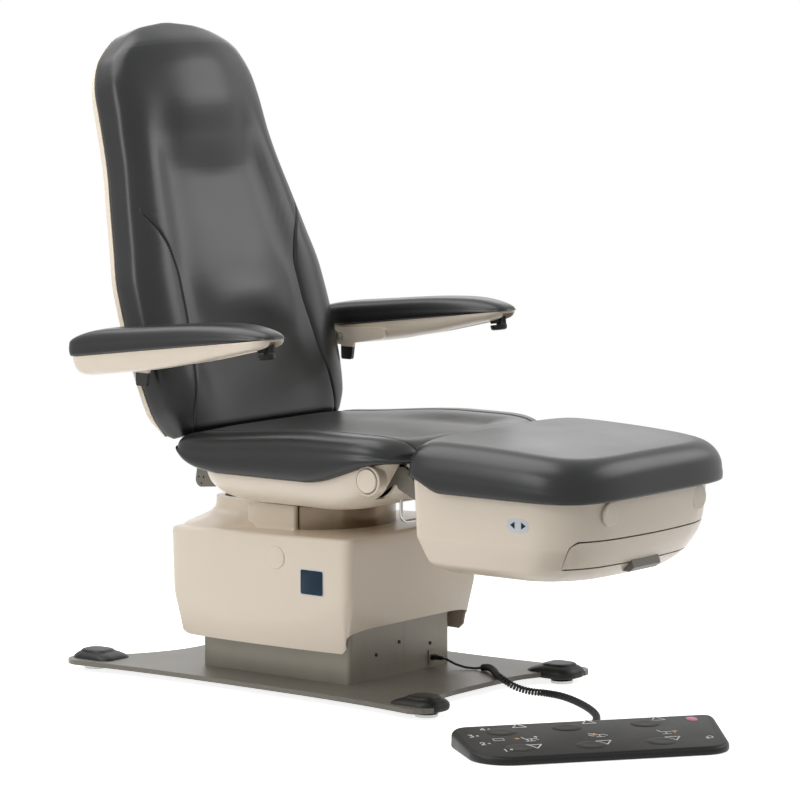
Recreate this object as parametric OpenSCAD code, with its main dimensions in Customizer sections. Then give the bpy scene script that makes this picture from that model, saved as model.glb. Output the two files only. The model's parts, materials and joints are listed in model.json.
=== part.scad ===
// Procedure chair for foot care: lift base, swivel seat, reclining back, level arms and sliding leg rest.
// Millimetres, +Z up, the patient faces -Y. The origin lies on the floor under the swivel axis.

/* [Base plate] */
// Half width of the steel plate at its corners
plate_half_w = 268; // [250:1:300]
// Half width of the plate at its drawn-in waist
plate_waist = 246; // [225:1:250]
// Half length of the plate at its corners
plate_half_l = 434; // [425:1:470]
// Distance from the swivel axis to the middle of the front edge
plate_front = 357; // [330:1:380]
// Distance from the swivel axis to the middle of the rear edge
plate_rear = 313; // [290:1:350]
// Thickness of the plate
plate_t = 9; // [6:1:14]
// Height of the plate's underside over the floor
foot_h = 13; // [10:1:20]
// Distance of a levelling foot from the plate's corner, sideways
foot_in_x = 59; // [48:1:66]
// Distance of a levelling foot from the plate's corner, front to rear
foot_in_y = 36; // [32:1:44]
// Diameter of a levelling foot
foot_d = 42; // [34:1:48]
// Diameter of a levelling foot's stud
stud_d = 12; // [8:1:16]
// Height of the moulded corner covers over the floor
cover_top = 50; // [46:1:56]

/* [Lift and shrouds] */
// Travel of the seat lift
lift_stroke = 340; // [200:2:342]
// Half width of the steel lower shroud
low_half_w = 153; // [145:1:156]
// Half depth of the steel lower shroud
low_half_l = 178; // [170:1:181]
// Top of the lower shroud
low_top = 262; // [255:1:263]
// Wall of the sheet steel shrouds
sheet_t = 2.5; // [1.5:0.1:2.6]
// Running gap between the telescoping shrouds
shroud_gap = 0.5; // [0.4:0.1:0.6]
// Place of the seam in the lower shroud's front
seam_x = 10; // [-20:1:20]
// Half width of the moulded upper shroud at its top
up_half_w = 200; // [195:1:212]
// Front face of the upper shroud at its top
up_front = 213; // [208:1:220]
// Rear face of the upper shroud at its top
up_rear = 217; // [212:1:225]
// Draw-in of the upper shroud from top to bottom
up_taper = 20; // [10:1:24]
// Height of the upper shroud's top at its front edge
up_top_front = 300; // [297:1:304]
// Height of the upper shroud's top at its rear edge
up_top_rear = 288; // [286:1:294]
// Bottom of the side skirts
skirt_z = 84; // [76:1:100]
// Height of the arch in the front wall
arch_z = 129; // [120:1:134]
// Wall of the moulded covers
shell_t = 4; // [3:0.5:5]
// Outer width of the fixed column tube
col_w = 150; // [140:1:154]
// Wall of the column tubes
col_t = 6; // [4:0.5:7]
// Gap between column stages on each side
col_gap = 0.3; // [0.2:0.05:0.5]
// Outer radius of the round swivel turret
turret_r = 132; // [126:1:134]
// Top of the turret
turret_top = 341; // [336:1:342]

/* [Seat] */
// Half width of the seat cushion
seat_half_w = 262; // [250:1:275]
// Front edge of the seat cushion
seat_front = 368; // [355:1:369]
// Rear edge of the seat cushion
seat_rear = 147; // [140:1:148]
// Height of the seat's bolsters over the floor
seat_top = 496; // [488:1:505]
// Underside of the seat cushion at its rear
seat_under = 398; // [396:1:402]
// Rise of the cushion's underside towards the front edge
seat_rise = 54; // [40:1:58]
// Half width of the moulded seat pan
pan_half_w = 246; // [238:1:250]
// Bottom of the seat pan
pan_z = 345; // [344:1:348]

/* [Back] */
// Lean of the back from upright in the drawn position
back_lean = 17.7; // [10:0.1:20]
// Length of the back cushion
back_len = 805; // [780:1:830]
// Widest half width of the back cushion
back_half_w = 272; // [266:1:273]
// Half width of the back at the head
head_half_w = 206; // [190:1:220]
// Thickness of the back cushion at its side
back_t = 48; // [40:1:54]
// Depth of the moulded shell behind the back cushion
back_shell_d = 40; // [34:1:52]
// Hinge axis of the back, distance behind the swivel axis
hinge_y = 167.5; // [166:0.5:170]
// Hinge axis of the back, height over the floor
hinge_z = 443; // [441:1:446]

/* [Arms] */
// Distance of an arm's centre line from the middle plane
arm_x = 350; // [344:1:360]
// Length of an arm
arm_len = 468; // [430:1:490]
// Width of an arm pad
arm_w = 92; // [84:1:96]
// Thickness of an arm pad
pad_t = 42; // [36:1:46]
// Upward slope of an arm towards its front
arm_slope = 6.5; // [4:0.5:8]
// Arm pivot, distance behind the swivel axis
arm_pivot_y = 205; // [203:1:207]
// Arm pivot, height over the floor
arm_pivot_z = 609; // [606:1:612]
// Radius of the arm pivot pins
arm_pin_r = 8; // [6:0.5:9]

/* [Leg rest] */
// Leg rest hinge, distance in front of the swivel axis
leg_hinge_y = 292; // [290:1:295]
// Leg rest hinge, height over the floor
leg_hinge_z = 420; // [418:1:422]
// Half width of the leg cushion
leg_half_w = 250; // [242:1:262]
// Front edge of the leg cushion
leg_front = 762; // [740:1:780]
// Rear edge of the leg cushion
leg_rear = 379; // [378:1:384]
// Underside of the leg cushion
leg_under = 411; // [410:1:414]
// Height of the leg cushion's crown
leg_top = 500; // [485:1:506]
// Half width of the leg rest's moulded tub
tub_half_w = 236; // [232:1:244]
// Bottom of the tub
tub_z = 272; // [266:1:280]
// Top edge of the debris tray's front
tray_top = 341; // [330:1:346]
// Lower edge of the debris tray's front
tray_low = 300; // [296:1:306]
// Travel of the leg rest's extension
leg_reach = 190; // [100:5:200]
// Travel of the debris tray
tray_reach = 200; // [100:5:210]

/* [Foot control] */
// Length of the foot control
ctl_len = 460; // [420:1:480]
// Width of the foot control
ctl_w = 206; // [190:1:215]
// Height of the foot control along its far edge
ctl_h = 32; // [28:1:36]
// Height of the foot control along its near edge
ctl_low = 15; // [13:1:18]
// Diameter of the control cord
cord_d = 4.6; // [4:0.1:5]
// Outer diameter of the cord's curls
curl_d = 14; // [12.5:0.5:15]
// Number of curls
curls = 54; // [40:1:60]

/* [Hidden] */
$fn = 48;
beige = [0.86, 0.82, 0.75];
taupe = [0.42, 0.40, 0.36];
charcoal = [0.30, 0.31, 0.30];
black = [0.13, 0.13, 0.12];
steel = [0.72, 0.72, 0.70];
wood = [0.72, 0.58, 0.40];
plate_top = foot_h + plate_t;
foot_x = plate_half_w - foot_in_x;
foot_y = plate_half_l - foot_in_y;
fit = 0.3;                              // gap at a seat between pieces on different bodies
pin_gap = 0.05;                         // radial running clearance of a pin in its bore
top_slope = (up_top_front - up_top_rear) / (up_front + up_rear);
top_mid = up_top_front - top_slope * up_front;
head_z = 271;                           // underside of the lift head's flange
head_top = 283;                         // where the turret and the upper shroud sit
boss_top = 300;
turntable_top = 352;
swivel_r = 96;
rail_x = 150;                           // middle of the seat frame's side rails
cheek_x = 146;                          // middle of the back hinge's cheeks
cheek_t = 6;
frame_x = 136;                          // middle of the back frame's side bars
leg_cheek_x = 182;
leg_bar_x = 192;                        // middle of the leg frame's side bars
leg_bar_t = 10;
leg_bar_z = [384, 399];
arm_in = 300;                           // inner face of an arm
carrier_t = 7;
seam_half = 7;                          // half width of a sewn channel
seam_deep = 3.5;
back_at = [hinge_y + 27.5, hinge_z + 11];  // lower end of the back's middle line

// Shapes and frames shared by several pieces
function smooth(t) = let (u = min(1, max(0, t))) u * u * (3 - 2 * u);
function mix(a, b, t) = a + (b - a) * t;
function ring(x, y0, y1, r0, r1, z, n = 6) = [
  for (q = [0:3], i = [0:n]) let (
    a = 90 * (q + i / n), r = q < 2 ? r1 : r0,
    cx = (q == 0 || q == 3) ? x - r : r - x, cy = q < 2 ? y1 - r : y0 + r)
  [cx + r * cos(a), cy + r * sin(a), z]];
function pillow_ring(x, y0, y1, p0, p1, n) = [
  for (i = [0:n - 1]) let (
    a = 360 * (i + 0.5) / n, c = cos(a), s = sin(a), p = s < 0 ? p0 : p1)
  [x * sign(c) * pow(abs(c), 2 / p), (y0 + y1) / 2 + (y1 - y0) / 2 * sign(s) * pow(abs(s), 2 / p)]];
function scaled(outline, k, c) = [for (q = outline) [c[0] + (q[0] - c[0]) * k, c[1] + (q[1] - c[1]) * k]];
function spline(v, t) = let (
    n = len(v) - 1, i = min(n - 1, floor(t)), u = t - i,
    a = v[max(0, i - 1)], b = v[i], c = v[i + 1], d = v[min(n, i + 2)])
  b + u * 0.5 * ((c - a) + u * ((2 * a - 5 * b + 4 * c - d) + u * (3 * b - a - 3 * c + d)));

module skin(rings) {
  n = len(rings[0]);
  m = len(rings);
  polyhedron(points = [for (r = rings) each r], faces = concat(
    [[for (i = [0:n - 1]) i]],
    [for (k = [0:m - 2], i = [0:n - 1], t = [0, 1]) let (
      a = k * n + i, b = k * n + (i + 1) % n) t == 0 ? [a, a + n, b + n] : [a, b + n, b]],
    [[for (i = [n - 1:-1:0]) (m - 1) * n + i]]), convexity = 8);
}
module both_sides() { children(); mirror([1, 0, 0]) children(); }
module on_side(left) { mirror([left ? 0 : 1, 0, 0]) children(); }
module x_cylinder(x0, x1, y, z, r) { translate([x0, y, z]) rotate([0, 90, 0]) cylinder(r = r, h = x1 - x0); }
module box(x0, x1, y0, y1, z0, z1) { translate([x0, y0, z0]) cube([x1 - x0, y1 - y0, z1 - z0]); }
module yz_plate(x0, x1) { translate([x0, 0, 0]) rotate([90, 0, 90]) linear_extrude(x1 - x0) children(); }
module on_back() { translate([0, back_at[0], back_at[1]]) rotate([-back_lean, 0, 0]) children(); }
function to_back(y, z) = let (dy = y - back_at[0], dz = z - back_at[1])
  [dy * cos(back_lean) - dz * sin(back_lean), dy * sin(back_lean) + dz * cos(back_lean)];
module on_arm() {
  translate([arm_x, arm_pivot_y + 84, arm_pivot_z + 10]) rotate([-arm_slope, 0, 0]) children();
}

// Base: plate, corner covers, feet
plate_edge = concat(
  [for (i = [-8:8]) let (t = i / 8) [plate_waist + (plate_half_w - plate_waist) * pow(abs(t), 3),
    t * (plate_half_l - 34)]],
  [for (a = [20, 45, 70]) [plate_half_w - 34 + 34 * cos(a), plate_half_l - 34 + 34 * sin(a)]],
  [for (i = [7:-1:-7]) let (t = i / 8) [t * (plate_half_w - 34) * 8 / 7,
    plate_rear + (plate_half_l - plate_rear) * pow(t, 2) * 64 / 49]],
  [for (a = [110, 135, 160]) [34 - plate_half_w + 34 * cos(a), plate_half_l - 34 + 34 * sin(a)]],
  [for (i = [8:-1:-8]) let (t = i / 8) [-plate_waist - (plate_half_w - plate_waist) * pow(abs(t), 3),
    t * (plate_half_l - 34)]],
  [for (a = [200, 225, 250]) [34 - plate_half_w + 34 * cos(a), 34 - plate_half_l + 34 * sin(a)]],
  [for (i = [-7:7]) let (t = i / 8) [t * (plate_half_w - 34) * 8 / 7,
    -plate_front - (plate_half_l - plate_front) * pow(t, 4) * pow(8 / 7, 4)]],
  [for (a = [290, 315, 340]) [plate_half_w - 34 + 34 * cos(a), 34 - plate_half_l + 34 * sin(a)]]);
module at_feet() {
  for (sx = [-1, 1], sy = [-1, 1]) translate([sx * foot_x, sy * foot_y, 0]) mirror([sx < 0 ? 1 : 0, 0, 0])
    mirror([0, sy < 0 ? 1 : 0, 0]) children();
}
module base_plate() {
  color(taupe) difference() {
    translate([0, 0, foot_h]) linear_extrude(plate_t) polygon(plate_edge);
    at_feet() translate([0, 0, foot_h - 1]) cylinder(r = stud_d / 2 + 0.3, h = plate_t + 2);
  }
}
module foot_covers() {
  color(black) difference() {
    at_feet() skin([ring(40, -56, 44, 20, 26, foot_h + 2), ring(42, -58, 46, 20, 26, plate_top + 6),
      ring(39, -50, 43, 20, 24, mix(plate_top, cover_top, 0.6)),
      ring(31, -34, 36, 18, 22, cover_top - 3), ring(20, -18, 26, 12, 16, cover_top)]);
    translate([0, 0, foot_h - 1]) linear_extrude(plate_t + 1) offset(delta = 0.2) polygon(plate_edge);
    at_feet() cylinder(r = stud_d + 1, h = plate_top + 13);
  }
}
module levelling_feet() {
  color(steel) at_feet() {
    rotate_extrude() polygon([[0, 0], [foot_d / 2, 0], [foot_d / 2, 5], [foot_d / 2 - 4, 9],
      [stud_d / 2, 10], [stud_d / 2, plate_top], [stud_d * 0.85, plate_top],
      [stud_d * 0.85, plate_top + 7], [stud_d / 2, plate_top + 7], [stud_d / 2, plate_top + 10],
      [0, plate_top + 10]]);
  }
}

// Steel lower shroud in two halves, with its screws
screws = [[-74, 68], [-5, 83], [90, 68]];
module shroud_box(hw, hl, z0, z1, wall, r) {
  difference() {
    linear_extrude_box(hw, hl, r, z0, z1);
    linear_extrude_box(hw - wall, hl - wall, r - wall, z0 - 1, z1 + 1);
  }
}
module linear_extrude_box(hw, hl, r, z0, z1) {
  translate([0, 0, z0]) linear_extrude(z1 - z0) union() {
    square([2 * hw - 2 * r, 2 * hl], center = true);
    square([2 * hw, 2 * hl - 2 * r], center = true);
    for (sx = [-1, 1], sy = [-1, 1]) translate([sx * (hw - r), sy * (hl - r)]) circle(r = r);
  }
}
module lower_shroud() {
  difference() {
    union() {
      shroud_box(low_half_w, low_half_l, plate_top, low_top, sheet_t, 12);
      shroud_box(low_half_w - sheet_t, low_half_l - sheet_t, plate_top, plate_top + 3, 18, 19);
    }
    for (s = screws) translate([s[0], 1 - low_half_l, s[1]]) rotate([90, 0, 0])
      translate([0, 0, -sheet_t - 3]) cylinder(r = 2.1, h = sheet_t + 6);
    box(88, 106, -low_half_l - 1, 5 - low_half_l, 32, 48);
    box(-118, -90, low_half_l - 5, low_half_l + 1, 46, 68);
  }
}
module lower_shroud_left() {
  color(taupe) intersection() { lower_shroud(); box(seam_x + 0.2, 200, -200, 200, 0, 300); }
}
module lower_shroud_right() {
  color(taupe) intersection() { lower_shroud(); box(-200, seam_x - 0.2, -200, 200, 0, 300); }
}
module shroud_screws() {
  color(black) for (s = screws) translate([s[0], -low_half_l, s[1]]) rotate([90, 0, 0])
    rotate_extrude() polygon([[0, -8], [2, -8], [2, 0], [3.6, 0], [3.2, 1.6], [1.6, 2], [0, 2]]);
}

// Lift column in three stages with its telescoping actuator
module square_tube(w, wall, z0, z1) {
  difference() { box(-w / 2, w / 2, -w / 2, w / 2, z0, z1);
    box(wall - w / 2, w / 2 - wall, wall - w / 2, w / 2 - wall, z0 - 1, z1 + 1); }
}
mid_w = col_w - 2 * col_t - 2 * col_gap;
inner_w = mid_w - 2 * col_t - 2 * col_gap;
module column_outer() {
  color(steel) {
    square_tube(col_w, col_t, plate_top, low_top);
    difference() {
      square_tube(col_w + 60, 30, plate_top, plate_top + 8);
      for (sx = [-1, 1], sy = [-1, 1]) translate([sx * (col_w / 2 + 15), sy * (col_w / 2 + 15), plate_top - 1])
        cylinder(r = 5.5, h = 10);
    }
  }
}
module column_middle() { color(steel) square_tube(mid_w, col_t, plate_top + 8, low_top + 4); }
module column_inner() { color(steel) square_tube(inner_w, col_t, plate_top + 16, head_z); }
act_r = 32;
module lift_actuator() {
  color(black) difference() {
    union() {
      box(-42, 42, -42, 42, plate_top, plate_top + 22);
      translate([0, 0, plate_top + 20]) cylinder(r = act_r, h = lift_stroke / 2 + 38);
    }
    translate([0, 0, plate_top + 24]) cylinder(r = act_r - 4, h = lift_stroke / 2 + 38);
  }
}
module lift_spindle() {
  color(steel) translate([0, 0, plate_top + 26]) difference() {
    cylinder(r = act_r - 4 - pin_gap, h = lift_stroke / 2 + 42);
    translate([0, 0, 2]) cylinder(r = act_r - 10, h = lift_stroke / 2 + 42);
  }
}
module lift_rod() {
  color(steel) translate([0, 0, plate_top + 30]) cylinder(r = act_r - 10 - pin_gap, h = head_z - plate_top - 30);
}

// Sockets on the base
module control_socket() {
  color(taupe) difference() {
    union() {
      box(88, 106, -low_half_l - 0.5, 8 - low_half_l, 32, 48);
      box(84, 110, -low_half_l - 2, -low_half_l, 27, 55);
    }
    box(90.5, 103.5, -low_half_l - 3, 2 - low_half_l, 35, 45);
  }
}
module power_inlet() {
  color(black) difference() {
    union() {
      box(-118, -90, low_half_l - 12, low_half_l, 46, 68);
      box(-125, -83, low_half_l, low_half_l + 2.5, 43, 71);
    }
    box(-116, -92, low_half_l - 9, low_half_l + 4, 48, 66);
  }
}

// Foot control on the floor, lying askew in front of the chair
ctl_at = [-278, -803];
ctl_turn = -37.3;
ctl_keys = [[-142, 53], [-138, -48], [-22, 60], [-13, -52], [121, 60], [114, -52]];
module on_control() { translate([ctl_at[0], ctl_at[1], 0]) rotate([0, 0, ctl_turn]) children(); }
function ctl_top(y) = mix(ctl_low, ctl_h, y / ctl_w + 0.5);
function ctl_ring(d, z, drop = 0) = [for (q = [[1, -1], [1, 1], [-1, 1], [-1, -1]], k = [0:4]) let (
    r = q[0] < 0 && q[1] < 0 ? 70 : 34, cx = q[0] * (ctl_len / 2 - r), cy = q[1] * (ctl_w / 2 - r),
    a0 = q == [1, -1] ? 270 : q == [1, 1] ? 0 : q == [-1, 1] ? 90 : 180, a = a0 + 22.5 * k,
    y = cy + (r - d) * sin(a))
  [cx + (r - d) * cos(a), y, drop > 0 ? ctl_top(y) - drop : z]];
module foot_control() {
  color(black) difference() {
    on_control() skin([ctl_ring(5, 0), ctl_ring(1, 2.5), ctl_ring(0, 5), ctl_ring(1, 0, 6.5), ctl_ring(4, 0, 2.5)]);
    translate([relief_at[0], relief_at[1], relief_z]) rotate([0, 0, relief_turn])
      rotate([90, 0, 0]) cylinder(r = 5.2, h = 20, center = true);
  }
}
module foot_control_mat() {
  color(charcoal) on_control() {
    skin([ctl_ring(4, 0, 2.5), ctl_ring(4.5, 0, 1.2), ctl_ring(7, 0, 0.0001)]);
    for (q = ctl_keys) translate([q[0], q[1], ctl_top(q[1]) - 0.4])
      rotate([atan((ctl_h - ctl_low) / ctl_w), 0, 0]) cylinder(r1 = 24, r2 = 20, h = 1.9);
  }
}

// Control cord: plug, straight lead, curls and strain relief
plug_at = [97, -low_half_l - 2, 40];
lead = [[97, -207, 40], [98, -214, 38], [103, -228, 31], [110, -246, 26], [116, -264, 25]];
route = [[119, -276, 27], [112, -300, 31], [88, -330, 31], [62, -356, 30], [50, -382, 25], [52, -406, 15],
  [60, -432, 9], [67, -465, 8], [60, -506, 8], [31, -560, 8], [-11, -617, 8], [-58, -664, 8],
  [-110, -697, 8], [-138, -704, 9]];
relief_z = 14;
relief_turn = ctl_turn - 42;
relief_at = [ctl_at[0] + 6 * cos(ctl_turn) - (ctl_w / 2 - 1) * sin(ctl_turn),
  ctl_at[1] + 6 * sin(ctl_turn) + (ctl_w / 2 - 1) * cos(ctl_turn)];
relief_dir = [-sin(relief_turn), cos(relief_turn), 0];
curl_steps = 8;
curl_n = curls * curl_steps;
curl_r = (curl_d - cord_d) / 2;
function unit(v) = v / norm(v);
function along(pts, t) = spline(pts, t * (len(pts) - 1));
// Equal steps along the route, so that the curls have an even pitch
route_fine = [for (i = [0:300]) along(route, i / 300)];
route_len = [for (i = 0, s = 0; i <= 300; s = s + (i < 300 ? norm(route_fine[i + 1] - route_fine[i]) : 0),
  i = i + 1) s];
route_total = route_len[300];
route_table = [for (i = [0:300]) [route_len[i], i]];
function at_route(s) = let (f = lookup(s, route_table), i = min(299, floor(f)))
  route_fine[i] + (route_fine[i + 1] - route_fine[i]) * (f - i);
function route_dir(s) = unit(at_route(min(route_total, s + 6)) - at_route(max(0, s - 6)));
function side_of(d) = unit([d[1], -d[0], 0]);
function curl_point(i) = let (
    s = route_total * i / curl_n, d = route_dir(s), a = side_of(d), b = cross(a, d),
    r = curl_r * smooth(min(i, curl_n - i) / curl_steps), w = 360 * i / curl_steps)
  at_route(s) + r * (cos(w) * a + sin(w) * b);
relief_tip = [relief_at[0], relief_at[1], relief_z] + relief_dir * 30;
cord_line = concat([plug_at + [0, -22, 0], plug_at + [0, -27, -0.3]], lead, [for (i = [1:curl_n - 1]) curl_point(i)],
  [relief_tip + relief_dir * 5, relief_tip]);
module tube(line, r, sides) {
  n = len(line);
  skin([for (i = [0:n - 1]) let (
      d = unit(i == 0 ? line[1] - line[0] : i == n - 1 ? line[i] - line[i - 1] : line[i + 1] - line[i - 1]),
      a = side_of(d), b = cross(a, d))
    [for (k = [0:sides - 1]) line[i] + r * (cos(360 * k / sides) * a - sin(360 * k / sides) * b)]]);
}
function curl_gap() = min([for (i = [curl_steps:curl_n - 2 * curl_steps - 4], k = [curl_steps - 2:curl_steps + 3])
  norm(curl_point(i) - curl_point(i + k))]) - cord_d;
module control_cord() {
  echo(least_gap_between_curls = curl_gap(), curled_length = route_total,
    cord_length = len(cord_line) > 1 ? sum_len(cord_line) : 0);
  color(black) tube(cord_line, cord_d / 2, 6);
}
function sum_len(line) = let (d = [for (i = [1:len(line) - 1]) norm(line[i] - line[i - 1])])
  d * [for (i = [1:len(d)]) 1];
module cord_plug() {
  color(black) translate(plug_at) {
    box(-6, 6, -7, 2.8, -4.5, 4.5);
    rotate([90, 0, 0]) translate([0, 0, 6]) rotate_extrude()
      polygon([[0, 0], [4.4, 0], [4.4, 4], [3.6, 16], [0, 16]]);
    box(-3, 3, -7, -5.9, -3, 3);
  }
}
module cord_relief() {
  color(black) translate([relief_at[0], relief_at[1], relief_z]) rotate([0, 0, relief_turn]) rotate([-90, 0, 0])
    rotate_extrude() polygon([[0, -9.7], [5, -9.7], [5, 0.4], [4.6, 4], [3, 30], [0, 30]]);
}

// Telescoping sleeves between the shrouds
module sleeve(step) {
  hw = low_half_w + step * (sheet_t + shroud_gap);
  hl = low_half_l + step * (sheet_t + shroud_gap);
  top = low_top + (step - 1) * (sheet_t + fit) + fit;
  shroud_box(hw, hl, arch_z + 7, top, sheet_t, 12 + 3 * step);
  difference() {
    linear_extrude_box(hw, hl, 12 + 3 * step, top, top + sheet_t);
    linear_extrude_box(low_half_w - 14, low_half_l - 14, 12, top - 1, top + 9);
  }
}
module shroud_sleeve_lower() { color(beige) sleeve(1); }
module shroud_sleeve_upper() { color(beige) sleeve(2); }

// Carriage: head, moulded upper shroud, neck cover and turret
module lift_head() {
  color(steel) {
    difference() {
      translate([0, 0, head_z]) cylinder(r = 150, h = head_top - head_z);
      for (a = [45:90:315]) rotate([0, 0, a]) translate([136, 0, head_z - 1]) cylinder(r = 4.5, h = 20);
    }
    translate([0, 0, head_top]) cylinder(r = swivel_r + 8, h = boss_top - head_top);
  }
}
function up_ring(z, d, e) = let (t = (up_top_front - z) / (up_top_front - skirt_z), k = up_taper * smooth(t) + d)
  ring(up_half_w - k, k - up_front, up_rear - k, max(8, 40 - e), max(8, 40 - e), z);
module above_shroud(gap) {
  translate([0, 0, top_mid + gap]) rotate([-atan(top_slope), 0, 0]) box(-300, 300, -300, 300, 0, 200);
}
module arch_cut(y0, y1, half, z) {
  translate([0, y1, 0]) rotate([90, 0, 0]) linear_extrude(y1 - y0) {
    translate([-half + 30, 0]) square([2 * half - 60, z]);
    translate([-half, 0]) square([2 * half, z - 30]);
    for (sx = [-1, 1]) translate([sx * (half - 30), z - 30]) circle(r = 30);
  }
}
module upper_shroud() {
  color(beige) difference() {
    skin([up_ring(skirt_z, 0, 0), up_ring(135, 0, 0), up_ring(165, -0.5, 0), up_ring(230, 0, 0),
      up_ring(285, 0, 0), up_ring(302, 3, 0), up_ring(306, 8, 0)]);
    above_shroud(0);
    skin([up_ring(skirt_z - 1, shell_t, shell_t), up_ring(165, shell_t, shell_t),
      up_ring(230, shell_t, shell_t), up_ring(head_top, shell_t, shell_t)]);
    translate([0, 0, head_top - 1]) cylinder(r = turret_r + 0.4, h = 40);
    arch_cut(-250, -120, 176, arch_z);
    arch_cut(120, 250, 150, arch_z - 20);
  }
}
// Round blind caps, flat on the sloping side walls between the rings at 230 and 285
cap_at = [-42, 253];
function up_x(z) = up_half_w - up_taper * smooth((up_top_front - z) / (up_top_front - skirt_z));
module shroud_caps() {
  color(beige) both_sides() translate([mix(up_x(230), up_x(285), (cap_at[1] - 230) / 55) + fit, cap_at[0], cap_at[1]])
    rotate([0, 90 + atan((up_x(285) - up_x(230)) / 55), 0]) cylinder(r = 22, h = 2.3);
}
function neck_ring(z, d) = let (t = smooth((turret_top - z) / (turret_top - up_top_rear)), f = pow(t, 3))
  ring(mix(126, 188, f) - d, 20, mix(186, up_rear - 2, f) - d, 30, 42 - d / 2, z, 5);
module neck_cover() {
  color(beige) difference() {
    union() {
      difference() {
        skin([for (z = [283, 292, 298, 306, 318, 330, turret_top]) neck_ring(z, 0)]);
        skin([for (z = [282, 292, 298, 306, 318, 330, turret_top - shell_t]) neck_ring(z, shell_t)]);
      }
      both_sides() difference() {
        box(120, 141, -38, 76, 283, turret_top);
        box(110, 137, -34, 72, 280, turret_top - shell_t);
      }
    }
    translate([0, 0, -200]) above_shroud(0);
    translate([0, 0, 280]) cylinder(r = turret_r + 0.4, h = 80);
  }
}
module swivel_turret() {
  color(taupe) rotate_extrude() polygon([[turret_r - 6, head_top], [turret_r, head_top],
    [turret_r, turret_top - 3], [turret_r - 3, turret_top], [swivel_r + 6, turret_top],
    [swivel_r + 6, turret_top - 5], [turret_r - 6, turret_top - 5]]);
}
module bearing_race() {
  color(steel) translate([0, 0, boss_top]) difference() {
    cylinder(r = swivel_r, h = 12);
    translate([0, 0, -1]) cylinder(r = 60, h = 14);
  }
}

// Seat: turntable, frame, pan and cushion
module turntable() {
  color(steel) difference() {
    union() {
      translate([0, 0, boss_top + 12 + fit]) cylinder(r = swivel_r, h = turntable_top - boss_top - 12 - fit);
      translate([0, 0, boss_top + 2]) cylinder(r = 60 - pin_gap, h = 20);
    }
    translate([0, 0, boss_top]) cylinder(r = 30, h = 60);
  }
}
rail_z = [358, 388];
lever_at = [80, -241, 380];             // one end of the swivel lever's hinge
module seat_frame() {
  color(taupe) {
    difference() {
      box(-rail_x, rail_x, -120, 50, turntable_top, rail_z[0] + 1);
      translate([0, 0, turntable_top - 1]) cylinder(r = 30, h = 10);
    }
    both_sides() {
      box(rail_x - 16, rail_x + 16, -212, 72, rail_z[0], rail_z[1]);
      yz_plate(leg_cheek_x - 4, leg_cheek_x + 4) difference() {
        union() {
          hull() {
            translate([-leg_hinge_y, leg_hinge_z]) circle(r = 15, $fn = 32);
            translate([-240, rail_z[1] - 6]) circle(r = 15, $fn = 32);
          }
          hull() {
            translate([-240, rail_z[1] - 6]) circle(r = 15, $fn = 32);
            translate([-180, rail_z[1] - 14]) circle(r = 12, $fn = 32);
          }
        }
        translate([-leg_hinge_y, leg_hinge_z]) circle(r = 8);
      }
      box(rail_x + 14, leg_cheek_x - 1, -212, -177, rail_z[0] + 8, rail_z[1]);
    }
    box(14 - rail_x, rail_x - 14, -211, -185, rail_z[0] + 0.5, rail_z[1] - 0.5);
    both_sides() difference() {
      box(lever_at[0] + 4, lever_at[0] + 12, lever_at[1] - 12, -208, 374, 387);
      x_cylinder(lever_at[0], lever_at[0] + 16, lever_at[1], lever_at[2], 5 + pin_gap);
    }
    box(14 - rail_x, rail_x - 14, 45, 71, rail_z[0] + 0.5, rail_z[1] - 0.5);
  }
}
module back_hinge_brackets() {
  color(taupe) both_sides() yz_plate(cheek_x - cheek_t / 2, cheek_x + cheek_t / 2) difference() {
    union() {
      hull() {
        translate([hinge_y, hinge_z]) circle(r = 16, $fn = 32);
        translate([181, 374]) circle(r = 14, $fn = 32);
      }
      hull() {
        translate([181, 374]) circle(r = 14, $fn = 32);
        translate([100, 380]) circle(r = 12, $fn = 32);
      }
      translate([72 + fit, 366]) square([30, 22]);
    }
    translate([hinge_y, hinge_z]) circle(r = 8);
    for (q = [[176, 379], [187, 379], [181, 367]]) translate(q) circle(r = 2);
  }
}
module hinge_pins() {
  color(steel) both_sides() {
    x_cylinder(frame_x - 6, cheek_x + cheek_t / 2 + 4, hinge_y, hinge_z, 8);
    x_cylinder(leg_cheek_x - 8, leg_bar_x + leg_bar_t / 2 + 4, -leg_hinge_y, leg_hinge_z, 8);
  }
}
module drive_units() {
  color(black) {
    x_cylinder(-100, -20, 20, 374, 14);
    box(-20, 30, 2, 40, rail_z[0] + 1, rail_z[1] - 1);
    x_cylinder(-20, 60, -95, 374, 14);
    box(60, 110, -113, -75, rail_z[0] + 1, rail_z[1] - 1);
  }
}
function seat_low(y) = seat_under + seat_rise * smooth((-120 - y) / 210);
pan_rings = [[345, 140, -165, 40], [349, 175, -195, 66], [358, 206, -228, 88], [372, 228, -266, 104],
  [390, 240, -292, 114], [410, 245, -306, 118], [430, 246, -319, 119], [452, 246, -333, 120]];
module pan_form(d) {
  skin([for (p = pan_rings) ring(p[1] + pan_half_w - 246 - d, p[2] + d, p[3] - d, 60 - d, 60 - d,
    p[0] + pan_z - 345 + (d > 0 && p[0] == 345 ? d : 0) + (d > 0 && p[0] == 349 ? d * 0.6 : 0))]);
}
module under_seat(gap, extra) {
  yz_plate(-300, 300) polygon(concat([for (y = [-400:10:-110]) [y, seat_low(y) - gap]],
    [[200, seat_low(200) - gap], [200, 300 - extra], [-400, 300 - extra]]));
}
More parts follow.
